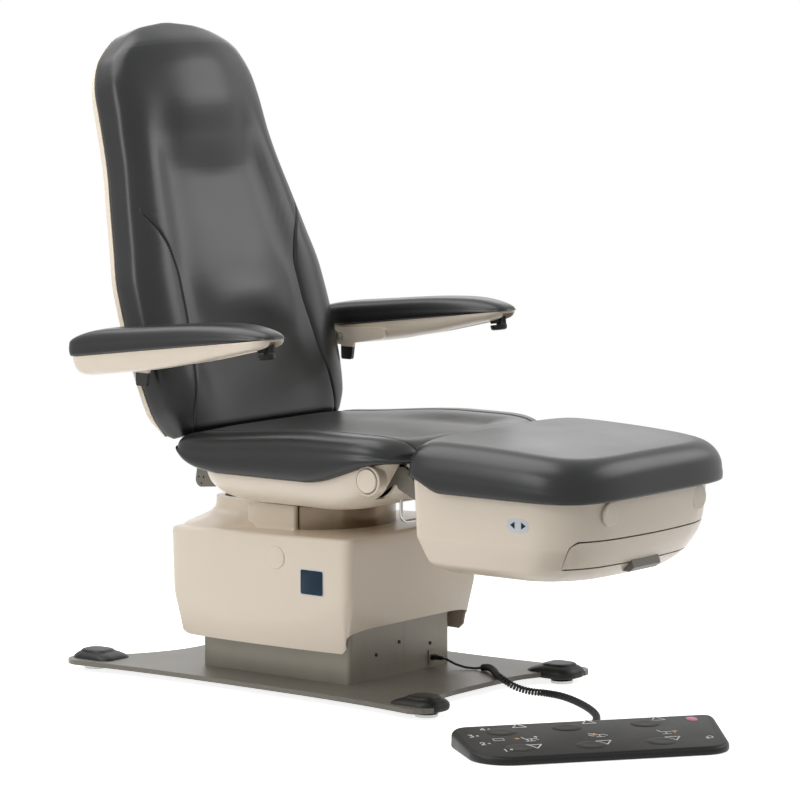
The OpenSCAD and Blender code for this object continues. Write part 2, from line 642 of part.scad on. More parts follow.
module seat_pan() {
  color(beige) difference() {
    intersection() {
      union() { pan_form(0); both_sides() x_cylinder(190, pan_half_w, -leg_hinge_y, leg_hinge_z, 27); }
      under_seat(fit + 0.7, 0);
    }
    both_sides() x_cylinder(pan_half_w - 8, pan_half_w + 1, -leg_hinge_y, leg_hinge_z, 23);
    intersection() { pan_form(shell_t); under_seat(-20, 0); }
    translate([0, 0, pan_z - 2]) cylinder(r = swivel_r + 3, h = 20);
    both_sides() {
      box(cheek_x - cheek_t / 2 - 1, cheek_x + cheek_t / 2 + 1, 60, 140, 362, 460);
      box(leg_cheek_x - 5, leg_bar_x + leg_bar_t / 2 + 2, -370, -272, 380, 460);
    }
    both_sides() box(lever_at[0] - 5, lever_at[0] + 5, lever_at[1] - 11, lever_at[1] + 6, 340, 380);
  }
}
module pan_caps() {
  color(beige) both_sides() translate([pan_half_w - 8 + fit, -leg_hinge_y, leg_hinge_z]) rotate([0, 90, 0])
    rotate_extrude() polygon([[0, 0], [23 - fit, 0], [23 - fit, 9], [20, 11], [0, 11.6]]);
}
module seat_board() {
  color(wood) box(-205, 205, -160, 70, rail_z[1] + fit, seat_under - fit);
}
module seat_cushion() {
  n = 40;
  outline = pillow_ring(seat_half_w, -seat_front, seat_rear, 5, 5.5, n);
  mid = [0, -115];
  function crown(q) = let (u = abs(q[0]) / seat_half_w, v = (q[1] - mid[1]) / 255)
    seat_top - 15 * (1 - pow(u, 3)) * (1 - pow(abs(v), 4)) - 8 * pow(max(0, v), 3);
  function layer(k, low, drop) = [for (q = scaled(outline, k, mid))
    [q[0], q[1], (low ? seat_low(q[1]) + drop : crown(q) - drop)]];
  function below(k) = [for (q = scaled(outline, k, [0, 20 - 135 * (k - 0.1) / 0.77])) [q[0], q[1], seat_low(q[1])]];
  color(charcoal) skin([below(0.1), below(0.5), below(0.72), layer(0.87, true, 0), layer(0.95, true, 5), layer(0.985, true, 18),
    layer(0.978, true, 36), layer(0.985, false, 30), layer(0.955, false, 11), layer(0.90, false, 3),
    layer(0.80, false, 0), layer(0.775, false, seam_deep), layer(0.75, false, 0), layer(0.4, false, 0),
    [for (q = scaled(outline, 0.1, mid)) [q[0], q[1], seat_top - 15]]]);
}
module swivel_lever() {
  loop_y = lever_at[1];
  half = lever_at[0];
  color(steel) {
    both_sides() {
      translate([half, loop_y, 338]) cylinder(r = 3, h = 44);
      translate([half - 16, loop_y, 338]) rotate([90, 0, 0]) rotate_extrude(angle = -90)
        translate([16, 0]) circle(r = 3, $fn = 24);
      x_cylinder(half - 6, half + 14, loop_y, lever_at[2], 5);
    }
    x_cylinder(16 - half, half - 16, loop_y, 322, 3);
  }
}

// Back: frame, moulded shell and upholstery
back_widths = [0.80, 0.925, 0.985, 1, 0.985, 0.935, 0.868, 0.80, 0.762, 0.752, 0.705, 0.60, 0.40, 0.12];
back_stops = [0, 50, 130, 210, 290, 370, 450, 530, 610, 670, 730, 770, 795, 805];
function back_w(i) = let (k = back_widths[i]) k > 0.8 ? back_half_w * k :
  mix(back_half_w * k, head_half_w / 0.762 * k, 0.5);
module back_body(t0, t1, inset, round0, round1) {
  sides = 24;
  last = len(back_stops) - 1;
  skin([for (i = [0:last]) let (
      s = back_stops[i] * back_len / 805, w = back_w(i) - inset,
      e = sin(90 * min(1, s / 36 + 0.3, (back_len - s) / 60 + 0.2)),
      z = i == 0 ? inset : i == last ? s - inset : s)
    [for (k = [0:sides - 1]) let (
        a = -360 * (k + 0.5) / sides, c = cos(a), q = sin(a), p = 5,
        x = w * sign(c) * pow(abs(c), 2 / p), h = sign(q) * pow(abs(q), 2 / p),
        u = x / max(1, w), front = h > 0 ? back_front(u, s) * round1 : back_rear(u, s) * round0,
        m = (t0 + t1) / 2, y = m + ((t1 - t0) / 2 * h + front * abs(h)) * e)
      [x, -y, z]]]);
}
function back_front(u, s) = 12 * pow(abs(u), 2) * smooth(s / 120) * smooth((620 - s) / 150)
  + 10 * exp(-pow((s - 285) / 75, 2)) * (1 - u * u) + 8 * exp(-pow((s - 700) / 60, 2)) * (1 - u * u)
  - 8 * exp(-pow((s - 540) / 70, 2)) * (1 - u * u);
function back_rear(u, s) = -(1 - pow(abs(u), 3)) * smooth(s / 60) * smooth((back_len - s) / 220);
// Seam between the side bolsters and the middle panel: height, share of the half width
seam_path = [[0, 0.86], [20, 0.80], [50, 0.68], [110, 0.57], [170, 0.52], [240, 0.485], [277, 0.48],
  [350, 0.6], [390, 0.74], [420, 0.86], [805, 0.86]];
module back_cushion() {
  function half_w(s) = lookup(s, [for (i = [0:len(back_stops) - 1]) [back_stops[i], back_w(i)]]);
  function point(u, side, s0, groove) = let (
    s = s0 * back_len / 805, e = sin(90 * min(1, s / 36 + 0.3, (back_len - s) / 60 + 0.2)),
    h = side * pow(max(0, 1 - pow(abs(u), 5)), 0.2), front = h > 0 ? back_front(u, s) : 0,
    y = 12 + back_t / 2 + (back_t / 2 * h + front * abs(h)) * e - groove)
    [u * half_w(s0), -y, s];
  color(charcoal) on_back() skin([
    for (s0 = [0, 25, 60, 110, 170, 240, 300, 350, 390, 420, 445, 500, 560, 620, 680, 730, 770, 795, 805])
    let (u0 = lookup(s0, seam_path), d = seam_half / half_w(s0), g = seam_deep * smooth((440 - s0) / 20))
    concat([for (u = [0.985, 0.7, 0.2, -0.2, -0.7, -0.985]) point(u, -1, s0, 0)],
      [for (u = [-1, -0.985, -0.95, -u0 - d]) point(u, 1, s0, 0)], [point(-u0, 1, s0, g)],
      [for (u = [d - u0, -0.2, 0.2, u0 - d]) point(u, 1, s0, 0)], [point(u0, 1, s0, g)],
      [for (u = [u0 + d, 0.95, 0.985, 1]) point(u, 1, s0, 0)])]);
}
module back_shell() {
  color(beige) on_back() difference() {
    intersection() {
      back_body(-10, 30, 2, back_shell_d - 10, 0);
      box(-300, 300, -11.7, 100, 8, back_len);
    }
    intersection() {
      back_body(-10, 30, 2 + shell_t, back_shell_d - 10 - shell_t, 0);
      box(-300, 300, -20, 100, 8 + shell_t, back_len - shell_t);
    }
    both_sides() {
      box(frame_x - 9, frame_x + 9, -20, 30, 0, 62);
      box(215, 300, -20, 8, 134, 168);
    }
  }
}
module back_frame() {
  pivot = to_back(hinge_y, hinge_z);
  arm_spot = to_back(arm_pivot_y, arm_pivot_z);
  arm_bar = [arm_spot[1] - 12, arm_spot[1] + 12];
  color(taupe) on_back() {
    both_sides() {
      yz_plate(frame_x - 4, frame_x + 4) difference() {
        union() {
          hull() {
            translate(pivot) circle(r = 13, $fn = 32);
            translate([4, -14]) circle(r = 12, $fn = 32);
          }
          hull() {
            translate([4, -14]) circle(r = 12, $fn = 32);
            translate([6, 60]) circle(r = 12, $fn = 32);
          }
        }
        translate(pivot) circle(r = 8 + pin_gap);
      }
      box(frame_x - 12, frame_x + 12, fit - 12, 16, 40, 600);
      yz_plate(272, 278) difference() {
        hull() {
          translate(arm_spot) circle(r = 15, $fn = 32);
          translate([4, arm_spot[1]]) circle(r = 12, $fn = 32);
        }
        translate(arm_spot) circle(r = arm_pin_r);
      }
    }
    box(-272, 272, fit - 12, 4, arm_bar[0], arm_bar[1]);
    box(12 - frame_x, frame_x - 12, fit - 12, 16, 576, 600);
  }
}
module arm_pins() {
  color(steel) both_sides() x_cylinder(270, arm_in + 34, arm_pivot_y, arm_pivot_z, arm_pin_r);
}

// Arms
module arm_carrier(left) {
  color(black) on_side(left) yz_plate(arm_in + 0.6, arm_in + 0.6 + carrier_t) difference() {
    union() {
      hull() {
        translate([arm_pivot_y, arm_pivot_z]) circle(r = 17, $fn = 32);
        translate([arm_pivot_y - 100, arm_pivot_z + 11]) circle(r = 11, $fn = 32);
      }
      translate([arm_pivot_y, arm_pivot_z]) hull()
        for (q = [[-30, 0], [-5, 0], [-6, -41], [-24, -41]]) translate(q) circle(r = 4, $fn = 32);
    }
    translate([arm_pivot_y, arm_pivot_z]) circle(r = arm_pin_r + pin_gap);
  }
}
module arm_carrier_left() { arm_carrier(true); }
module arm_carrier_right() { arm_carrier(false); }
function arm_ring(x, y0, y1, r0, r1, z) = ring(x, y0, y1, r0, r1, z, 4);
half_a = arm_w / 2;
module arm_housing(left) {
  color(beige) on_side(left) difference() {
    union() {
      on_arm() intersection() {
        skin([arm_ring(half_a - 18, 30 - arm_len, -34, 24, 24, -39), arm_ring(half_a - 10, 22 - arm_len, -22, 32, 26, -36),
          arm_ring(half_a - 5, 10 - arm_len, -10, 36, 28, -24), arm_ring(half_a - 3, 5 - arm_len, -4, 38, 30, -8),
          arm_ring(half_a - 3, 4 - arm_len, -4, 38, 30, -0.3)]);
        yz_plate(-60, 60) polygon([[10, -0.3], [10, -34], [-30, -37], [-110, -37], [-300, -30],
          [-330, -27], [-400, -20], [-arm_len - 5, -15], [-arm_len - 5, -0.3]]);
      }
    }
    // Recess for the level bracket on the inner side
    yz_plate(arm_in - 10, arm_in + 1.2 + carrier_t) translate([arm_pivot_y, arm_pivot_z])
      polygon([[-191, -49], [-171, 26], [125, 19], [125, -69], [-191, -69]]);
    x_cylinder(arm_in - 1, arm_in + 34 + fit, arm_pivot_y, arm_pivot_z, arm_pin_r + pin_gap);
    // Cut-out under the tip for the release lever
    on_arm() box(-17, 17, -arm_len - 10, 62 - arm_len, -60, -5);
  }
}
module arm_housing_left() { arm_housing(true); }
module arm_housing_right() { arm_housing(false); }
module arm_pad(left) {
  n = 28;
  o = pillow_ring(half_a, -arm_len, 0, 3.6, 4.2, n);
  mid = [0, -arm_len / 2];
  function shrink(k) = [for (q = o) [q[0] * (1 - k / half_a), mid[1] + (q[1] - mid[1]) * (1 - k / (arm_len / 2))]];
  function layer(k, z) = [for (q = shrink(k)) [q[0], q[1], z - 5 * pow((q[1] - mid[1]) / (arm_len / 2), 4)
    * smooth(z / pad_t)]];
  color(charcoal) on_side(left) on_arm() skin([layer(5, 0), layer(1.5, 4), layer(0, 14), layer(0.5, 24),
    layer(4, 34), layer(12, pad_t - 2.5), layer(24, pad_t), layer(40, pad_t + 1)]);
}
module arm_pad_left() { arm_pad(true); }
module arm_pad_right() { arm_pad(false); }
module arm_lever(left) {
  color(black) on_side(left) on_arm() translate([0, 34 - arm_len, -12]) {
    x_cylinder(-16.5, 16.5, 0, 0, 3.5);
    hull() {
      x_cylinder(-6, 6, 0, 0, 4, $fn = 32);
      x_cylinder(-5, 5, 2, -22, 3, $fn = 32);
    }
    translate([0, 2, -26]) rotate_extrude() polygon([[0, 0], [13, 0], [15, 1.5], [15, 4], [13, 3.4], [0, 3]]);
  }
}
module arm_lever_left() { arm_lever(true); }
module arm_lever_right() { arm_lever(false); }

// Leg rest
module leg_frame() {
  color(taupe) {
    both_sides() {
      yz_plate(leg_bar_x - leg_bar_t / 2, leg_bar_x + leg_bar_t / 2) difference() {
        union() {
          hull() {
            translate([-leg_hinge_y, leg_hinge_z]) circle(r = 14, $fn = 32);
            translate([-334, 428]) circle(r = 16, $fn = 32);
          }
          hull() {
            translate([-334, 428]) circle(r = 16, $fn = 32);
            translate([-372, leg_bar_z[1] - 8]) circle(r = 8, $fn = 32);
            translate([-330, 410]) circle(r = 8, $fn = 32);
          }
          translate([-715, leg_bar_z[0]]) square([345, leg_bar_z[1] - leg_bar_z[0]]);
        }
        translate([-leg_hinge_y, leg_hinge_z]) circle(r = 8 + pin_gap);
      }
    }
    for (y = [-715, -620]) box(leg_bar_t / 2 - leg_bar_x, leg_bar_x - leg_bar_t / 2, y, y + 20,
      leg_bar_z[0], leg_bar_z[1]);
  }
}
module leg_rails() {
  color(steel) both_sides() {
    box(leg_bar_x + leg_bar_t / 2 + fit, leg_bar_x + leg_bar_t / 2 + 10, 57 - leg_front,
      172 - leg_front + leg_reach, leg_bar_z[0], leg_bar_z[1] + 1);
    for (y = [135 - leg_front, -leg_rear - 105]) box(leg_bar_x + leg_bar_t / 2 + 8, tub_half_w - shell_t - 2 * fit,
      y, y + 40, leg_bar_z[0] + 4, leg_bar_z[1]);
  }
}
leg_board_t = 10;
module leg_board() {
  color(wood) translate([0, 0, leg_bar_z[1] + 1 + fit]) linear_extrude(leg_under - leg_bar_z[1] - 1 - 2 * fit)
    hull() both_sides() {
      translate([tub_half_w - 116, 118 - leg_front]) circle(r = 100, $fn = 32);
      translate([tub_half_w - 36, -leg_rear - 61]) circle(r = 20, $fn = 32);
    }
}
function leg_low(y) = leg_under + 25 * smooth((y + 462) / 70);
tub_rings = [[272, 46, 58, 34, 40], [279, 28, 40, 22, 50], [292, 14, 22, 14, 50], [312, 5, 12, 8, 50],
  [340, 2, 5, 5, 50], [390, 0, 0.5, 2, 50], [440, 0, 0, 0, 50]];
module tub_form(d) {
  skin([for (p = tub_rings) ring(tub_half_w - p[1] - d, p[3] - leg_front + 6 + d, -leg_rear - 6 - p[2] - d,
    max(50, 110 - p[1]) - d, p[4] - d, p[0] + tub_z - 272 + (d > 0 && p[0] == 272 ? d : 0)
    + (d > 0 && p[0] == 279 ? d * 0.7 : 0) + (d > 0 && p[0] == 440 ? 1 : 0))]);
}
module tray_zone(gap) {
  yz_plate(-260, 260) polygon([[-leg_front - 10, tray_top + gap], [-leg_front + 44 + gap, tray_top + gap],
    [-leg_front + 62 + gap, tray_low - gap], [-leg_front - 10, tray_low - gap]]);
}
bay = [tub_half_w - 42, 97 - leg_front + tray_reach, tray_low + 2.5];  // tray's half width, rear wall and floor
module leg_housing() {
  color(beige) difference() {
    tub_form(0);
    difference() {
      tub_form(shell_t);
      both_sides() box(140, 165, 66 - leg_front, bay[1], tub_z, bay[2] - fit);
    }
    yz_plate(-260, 260) polygon(concat([for (y = [-780:20:-470]) [y, leg_low(y) - fit]],
      [for (y = [-460:10:-380]) [y, leg_low(y) - fit]], [[-370, 460], [-780, 460]]));
    tray_zone(1);
    both_sides() box(leg_bar_x - leg_bar_t / 2 - 2, leg_bar_x + leg_bar_t / 2 + 2, -410, -370,
      leg_bar_z[0] - 3, leg_bar_z[1] + 3);
  }
}
module leg_cushion() {
  n = 40;
  outline = pillow_ring(leg_half_w, -leg_front, -leg_rear, 3.6, 5, n);
  mid = [0, -(leg_front + leg_rear) / 2];
  half = (leg_front - leg_rear) / 2;
  function crown(q) = leg_top - 14 * pow(abs(q[0]) / leg_half_w, 3) - 14 * pow(max(0, (mid[1] - q[1]) / half), 1.6)
    - 5 * pow(max(0, (q[1] - mid[1]) / half), 3);
  function layer(k, low, drop) = [for (q = scaled(outline, k, mid))
    [q[0], q[1], (low ? leg_low(q[1]) + drop : crown(q) - drop)]];
  color(charcoal) skin([layer(0.1, true, 0), layer(0.55, true, 0), layer(0.90, true, 0), layer(0.97, true, 5), layer(0.995, true, 16),
    layer(0.992, true, 34), layer(0.995, false, 28), layer(0.965, false, 11), layer(0.91, false, 3.5),
    layer(0.82, false, 0.5), layer(0.5, false, 0), [for (q = scaled(outline, 0.12, mid)) [q[0], q[1], leg_top]]]);
}
module leg_caps() {
  color(beige) both_sides() translate([146, 5 - leg_front, 388]) rotate([90, 0, 0])
    rotate_extrude() polygon([[0, -2], [22, -2], [22, 2], [20, 3], [0, 3.4]]);
}
module debris_tray() {
  color(beige) {
    difference() {
      intersection() { tub_form(0); tray_zone(0); }
      tub_form(7.5);
    }
    difference() {
      intersection() {
        tub_form(shell_t + 1);
        box(-bay[0], bay[0], -leg_front, bay[1], bay[2], tray_top - 4);
      }
      intersection() {
        tub_form(shell_t + 3.5);
        box(2.5 - bay[0], bay[0] - 2.5, -leg_front, bay[1] - 2.5, bay[2] + 2.5, tray_top + 5);
      }
    }
  }
}
module tray_pull() {
  color(taupe) translate([0, -leg_front, tray_low]) yz_plate(-44, 44)
    polygon([[17.1, 0.5], [13.6, 12], [11, 12], [6, 0], [5, -14], [10, -16], [15.5, -10], [16.8, -1]]);
}

base_plate();
foot_covers();
levelling_feet();
lower_shroud_left();
lower_shroud_right();
shroud_screws();
column_outer();
lift_actuator();
control_socket();
power_inlet();
foot_control();
foot_control_mat();
control_cord();
cord_plug();
cord_relief();
column_middle();
lift_spindle();
shroud_sleeve_lower();
shroud_sleeve_upper();
column_inner();
lift_rod();
lift_head();
upper_shroud();
shroud_caps();
neck_cover();
swivel_turret();
bearing_race();
turntable();
seat_frame();
seat_pan();
pan_caps();
seat_board();
seat_cushion();
back_hinge_brackets();
hinge_pins();
drive_units();
swivel_lever();
back_frame();
back_shell();
back_cushion();
arm_pins();
arm_carrier_left();
arm_carrier_right();
arm_housing_left();
arm_housing_right();
arm_pad_left();
arm_pad_right();
arm_lever_left();
arm_lever_right();
leg_frame();
leg_rails();
leg_housing();
leg_board();
leg_cushion();
leg_caps();
debris_tray();
tray_pull();
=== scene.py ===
import json
import math
import bpy
import numpy as np
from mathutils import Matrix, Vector

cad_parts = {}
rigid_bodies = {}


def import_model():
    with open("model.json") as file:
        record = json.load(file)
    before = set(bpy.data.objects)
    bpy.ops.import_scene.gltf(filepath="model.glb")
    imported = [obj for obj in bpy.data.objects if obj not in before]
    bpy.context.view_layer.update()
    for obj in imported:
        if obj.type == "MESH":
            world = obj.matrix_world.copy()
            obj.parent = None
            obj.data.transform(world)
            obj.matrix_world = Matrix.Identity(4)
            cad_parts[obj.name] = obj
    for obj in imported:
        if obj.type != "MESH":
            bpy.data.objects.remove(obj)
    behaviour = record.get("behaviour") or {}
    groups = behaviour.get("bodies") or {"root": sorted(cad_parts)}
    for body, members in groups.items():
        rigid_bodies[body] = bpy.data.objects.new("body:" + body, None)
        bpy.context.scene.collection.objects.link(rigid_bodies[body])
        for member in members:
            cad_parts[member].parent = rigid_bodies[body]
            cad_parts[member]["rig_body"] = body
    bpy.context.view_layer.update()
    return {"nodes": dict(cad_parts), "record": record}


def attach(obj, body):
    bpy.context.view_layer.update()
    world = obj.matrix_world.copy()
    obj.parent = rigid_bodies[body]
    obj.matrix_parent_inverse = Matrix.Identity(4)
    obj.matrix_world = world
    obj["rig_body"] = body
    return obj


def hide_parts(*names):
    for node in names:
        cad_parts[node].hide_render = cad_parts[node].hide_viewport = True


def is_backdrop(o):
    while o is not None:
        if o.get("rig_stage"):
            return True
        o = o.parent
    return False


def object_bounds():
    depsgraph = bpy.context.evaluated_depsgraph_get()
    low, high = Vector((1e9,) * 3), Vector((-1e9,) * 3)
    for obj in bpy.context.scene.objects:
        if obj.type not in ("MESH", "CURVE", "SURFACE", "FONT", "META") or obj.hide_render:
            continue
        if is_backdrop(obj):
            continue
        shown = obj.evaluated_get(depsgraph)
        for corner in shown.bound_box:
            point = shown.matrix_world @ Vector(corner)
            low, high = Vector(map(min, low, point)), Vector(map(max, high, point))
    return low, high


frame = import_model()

scene = bpy.context.scene
nodes = frame["nodes"]
mm = 0.001  # the shapes below are drawn in millimetres

# Curves and rings that the pieces share

def smooth(t):
    u = np.clip(t, 0, 1)
    return u * u * (3 - 2 * u)


def mix(a, b, t):
    return a + (b - a) * t


def bump(v, centre, width):
    return np.exp(-((v - centre) / width) ** 2)


def softplus(x, k):
    return k * np.logaddexp(0, np.asarray(x, float) / k)


def curveAt(table, value):
    # Monotone cubic through the table's rows
    x, y = np.array(table, float).T
    h = np.diff(x)
    d = np.diff(y) / h
    m = np.zeros_like(y)
    same = d[:-1] * d[1:] > 0
    w1, w2 = 2 * h[1:] + h[:-1], h[1:] + 2 * h[:-1]
    inner = np.zeros(len(d) - 1)
    inner[same] = (w1 + w2)[same] / (w1[same] / d[:-1][same] + w2[same] / d[1:][same])
    m[1:-1] = inner
    m[0], m[-1] = d[0], d[-1]
    v = np.clip(value, x[0], x[-1])
    i = np.clip(np.searchsorted(x, v) - 1, 0, len(h) - 1)
    t = (v - x[i]) / h[i]
    return ((1 + 2 * t) * (1 - t) ** 2 * y[i] + t * (1 - t) ** 2 * h[i] * m[i]
            + t * t * (3 - 2 * t) * y[i + 1] + t * t * (t - 1) * h[i] * m[i + 1])


def roundedRing(x, y0, y1, r0, r1, arc=10, side=16):
    # Points and outward directions round a rectangle with rounded corners, anticlockwise from +X +Y
    points, normals, corners = [], [], []
    for q in range(4):
        r = r1 if q < 2 else r0
        cx = x - r if q in (0, 3) else r - x
        cy = y1 - r if q < 2 else y0 + r
        angles = [math.radians(90 * (q + i / arc)) for i in range(arc + 1)]
        corners.append([(cx + r * math.cos(a), cy + r * math.sin(a), math.cos(a), math.sin(a)) for a in angles])
    for q in range(4):
        for p in corners[q]:
            points.append(p[:2])
            normals.append(p[2:])
        a, b = corners[q][-1], corners[(q + 1) % 4][0]
        for i in range(1, side):
            t = i / side
            points.append((mix(a[0], b[0], t), mix(a[1], b[1], t)))
            normals.append(a[2:])
    return np.array(points), np.array(normals)


def loft(rings, startCap=False, endCap=False):
    # Closed rings joined by four-sided faces
    rings = np.asarray(rings, float)
    m, n, _ = rings.shape
    verts = rings.reshape(-1, 3)
    faces = [(k * n + i, k * n + (i + 1) % n, (k + 1) * n + (i + 1) % n, (k + 1) * n + i)
             for k in range(m - 1) for i in range(n)]
    if startCap:
        faces.append(tuple(range(n - 1, -1, -1)))
    if endCap:
        faces.append(tuple((m - 1) * n + i for i in range(n)))
    return verts, faces


def join(*parts):
    verts, faces, start = [], [], 0
    for v, f in parts:
        v = np.asarray(v, float)
        verts.append(v)
        faces += [tuple(i + start for i in face) for face in f]
        start += len(v)
    return np.concatenate(verts), faces


def tilt(points, degrees, at):
    # Turns points about X, then moves them
    a = math.radians(degrees)
    p = np.asarray(points, float)
    y, z = p[:, 1] * math.cos(a) + p[:, 2] * math.sin(a), -p[:, 1] * math.sin(a) + p[:, 2] * math.cos(a)
    return np.stack([p[:, 0] + at[0], y + at[1], z + at[2]], 1)


def turned(part):
    # The same points with the faces looking the other way
    return part[0], [tuple(reversed(face)) for face in part[1]]


def mirrored(part):
    v, f = turned(part)
    return np.asarray(v, float) * [-1, 1, 1], f


def lathe(profile, n=40, axis="z", at=(0, 0, 0)):
    # profile holds (radius, height) rows from the bottom middle to the top middle
    rings = [[(r * math.cos(2 * math.pi * i / n), r * math.sin(2 * math.pi * i / n), h) for i in range(n)]
             for r, h in profile]
    v, f = loft(rings, True, True)
    if axis == "x":
        v = np.stack([v[:, 2], v[:, 0], v[:, 1]], 1)
    if axis == "-x":
        v = np.stack([-v[:, 2], -v[:, 0], v[:, 1]], 1)
    if axis == "-y":
        v = np.stack([v[:, 0], -v[:, 2], v[:, 1]], 1)
    return v + np.array(at), f


def prism(outline, x0, x1):
    # A solid between two planes of constant x over an outline in y and z
    n = len(outline)
    verts = [(x0, y, z) for y, z in outline] + [(x1, y, z) for y, z in outline]
    area = sum(a[0] * b[1] - b[0] * a[1] for a, b in zip(outline, outline[1:] + outline[:1]))
    faces = [tuple(range(n - 1, -1, -1)), tuple(range(n, 2 * n))]
    faces += [(i, (i + 1) % n, n + (i + 1) % n, n + i) for i in range(n)]
    part = np.array(verts, float), faces
    return turned(part) if area < 0 else part


def slab(x0, x1, y0, y1, z0, z1):
    return prism([(y0, z0), (y1, z0), (y1, z1), (y0, z1)], x0, x1)


def shade(mesh, creaseAngle=40):
    # Smooth, with sharp edges where faces meet at more than creaseAngle
    mesh.polygons.foreach_set("use_smooth", [True] * len(mesh.polygons))
    if creaseAngle:
        mesh.set_sharp_from_angle(angle=math.radians(creaseAngle))


def addMesh(name, part, material=None, creaseAngle=40):
    mesh = bpy.data.meshes.new(name)
    mesh.from_pydata([tuple(v) for v in np.asarray(part[0], float) * mm], [], part[1])
    mesh.validate()
    shade(mesh, creaseAngle)
    obj = bpy.data.objects.new(name, mesh)
    scene.collection.objects.link(obj)
    if material:
        mesh.materials.append(material)
    return obj


def bake(obj):
    # Turns the modifiers into the mesh
    graph = bpy.context.evaluated_depsgraph_get()
    made = bpy.data.meshes.new_from_object(obj.evaluated_get(graph))
    obj.modifiers.clear()
    obj.data = made
    shade(made)


def thicken(obj, wall):
    # Gives a surface a wall on its inner side
    shell = obj.modifiers.new("wall", "SOLIDIFY")
    shell.thickness, shell.offset, shell.use_even_offset = wall * mm, -1, False
    bake(obj)


def carve(obj, part, keep=False):
    # Cuts a closed shape out of a piece, or keeps only what lies inside it
    tool = addMesh("cutter", part)
    cut = obj.modifiers.new("cut", "BOOLEAN")
    cut.object, cut.operation, cut.solver = tool, "INTERSECT" if keep else "DIFFERENCE", "EXACT"
    bake(obj)
    bpy.data.objects.remove(tool)


def carveBoth(obj, *blocks):
    # Cuts blocks out on both sides, each given as x0, x1, y0, y1, z0, z1 for +X
    for side in (1, -1):
        for x0, x1, *rest in blocks:
            carve(obj, slab(*sorted((side * x0, side * x1)), *rest))


def settle(obj, finish, *stoodFor, body=None):
    # Fixes a piece to the body of the nodes it stands for
    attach(obj, body or nodes[stoodFor[0]]["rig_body"])
    if stoodFor:
        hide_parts(*stoodFor)


def build(name, part, finish, creaseAngle, *stoodFor, wall=0, cuts=(), slot=None, body=None):
    # Makes a piece, gives it a wall and cuts where asked, and fixes it to its body
    obj = addMesh(name, part, paint[finish], creaseAngle)
    if wall:
        thicken(obj, wall)
    for cut in cuts:
        carve(obj, cut)
    settle(obj, slot or finish, *stoodFor, body=body)
    return obj


# Materials

finishes = {
    "upholstery": dict(base=(0.0100, 0.0112, 0.0103), rough=0.33, spread=0.12, spreadScale=9, cells=900,
                       depth=0.10, level=0.42),
    "beige_moulding": dict(base=(0.77, 0.675, 0.555), rough=0.30, spread=0.025, spreadScale=5, grain=1400),
    "taupe_enamel": dict(base=(0.150, 0.137, 0.112), rough=0.40, spread=0.06, spreadScale=7, grain=900,
                         roughSpread=0.08),
    "black_moulding": dict(base=(0.010, 0.010, 0.0095), rough=0.42, level=0.25, spread=0.12, spreadScale=20,
                           grain=1800, depth=0.10, roughSpread=0.08),
    "overlay": dict(base=(0.012, 0.012, 0.0115), rough=0.5, level=0.25, spread=0.10, spreadScale=18,
                    grain=2200, depth=0.06, roughSpread=0.06),
    "cord_sheath": dict(base=(0.010, 0.010, 0.010), rough=0.38, level=0.3, spread=0.15, spreadScale=60,
                        grain=1500, roughSpread=0.08),
    "bright_steel": dict(base=(0.56, 0.56, 0.55), rough=0.28, spread=0.06, spreadScale=12, grain=700,
                         depth=0.03, roughSpread=0.10, metallic=1.0, stretch=(1, 1, 0.05)),
    "plywood": dict(base=(0.50, 0.34, 0.19), rough=0.62, spread=0.22, spreadScale=22, grain=500, depth=0.10,
                    roughSpread=0.08, stretch=(0.08, 1, 6)),
    "sheet_steel": dict(base=(0.26, 0.238, 0.192), rough=0.34, spread=0.10, spreadScale=26, grain=900,
                        roughSpread=0.10, metallic=0.25, stretch=(1, 1, 0.04)),
    "turret": dict(base=(0.21, 0.160, 0.110), rough=0.22, spread=0.08, spreadScale=18, grain=900, depth=0.03,
                   roughSpread=0.08, metallic=0.8, stretch=(1, 1, 0.05)),
    "thread": dict(base=(0.045, 0.047, 0.045), rough=0.6, spread=0.2, spreadScale=300, grain=3000, depth=0.2),
}
for name, base, rough, spread, spreadScale, level in (
        ("print_white", (0.80, 0.80, 0.78), 0.5, 0.03, 80, 0.5),
        ("print_orange", (0.85, 0.40, 0.06), 0.5, 0.04, 80, 0.5),
        ("print_pink", (0.86, 0.30, 0.42), 0.5, 0.04, 80, 0.5),
        ("print_blue", (0.004, 0.022, 0.042), 0.35, 0.06, 40, 0.2),
        ("print_grey", (0.62, 0.64, 0.68), 0.35, 0.03, 40, 0.5)):
    finishes[name] = dict(base=base, rough=rough, spread=spread, spreadScale=spreadScale, grain=2500,
                          depth=0.02, roughSpread=0.04, level=level)
carriedFinish = {"lower_shroud_left": "sheet_steel", "lower_shroud_right": "sheet_steel",
                 "control_socket": "sheet_steel", "swivel_turret": "turret"}
tab = dict(colour=(0.02, 0.02, 0.019, 1), blackBelow=0.588, beigeAbove=0.590)  # heights in metres


def addNode(tree, kind, values={}, feeds={}, **settings):
    # A shader node with its settings, its fixed inputs and the sockets that feed it
    made = tree.nodes.new("ShaderNode" + kind)
    for key, value in settings.items():
        setattr(made, key, value)
    for key, value in values.items():
        made.inputs[key].default_value = value
    for key, source in feeds.items():
        tree.links.new(source, made.inputs[key])
    return made


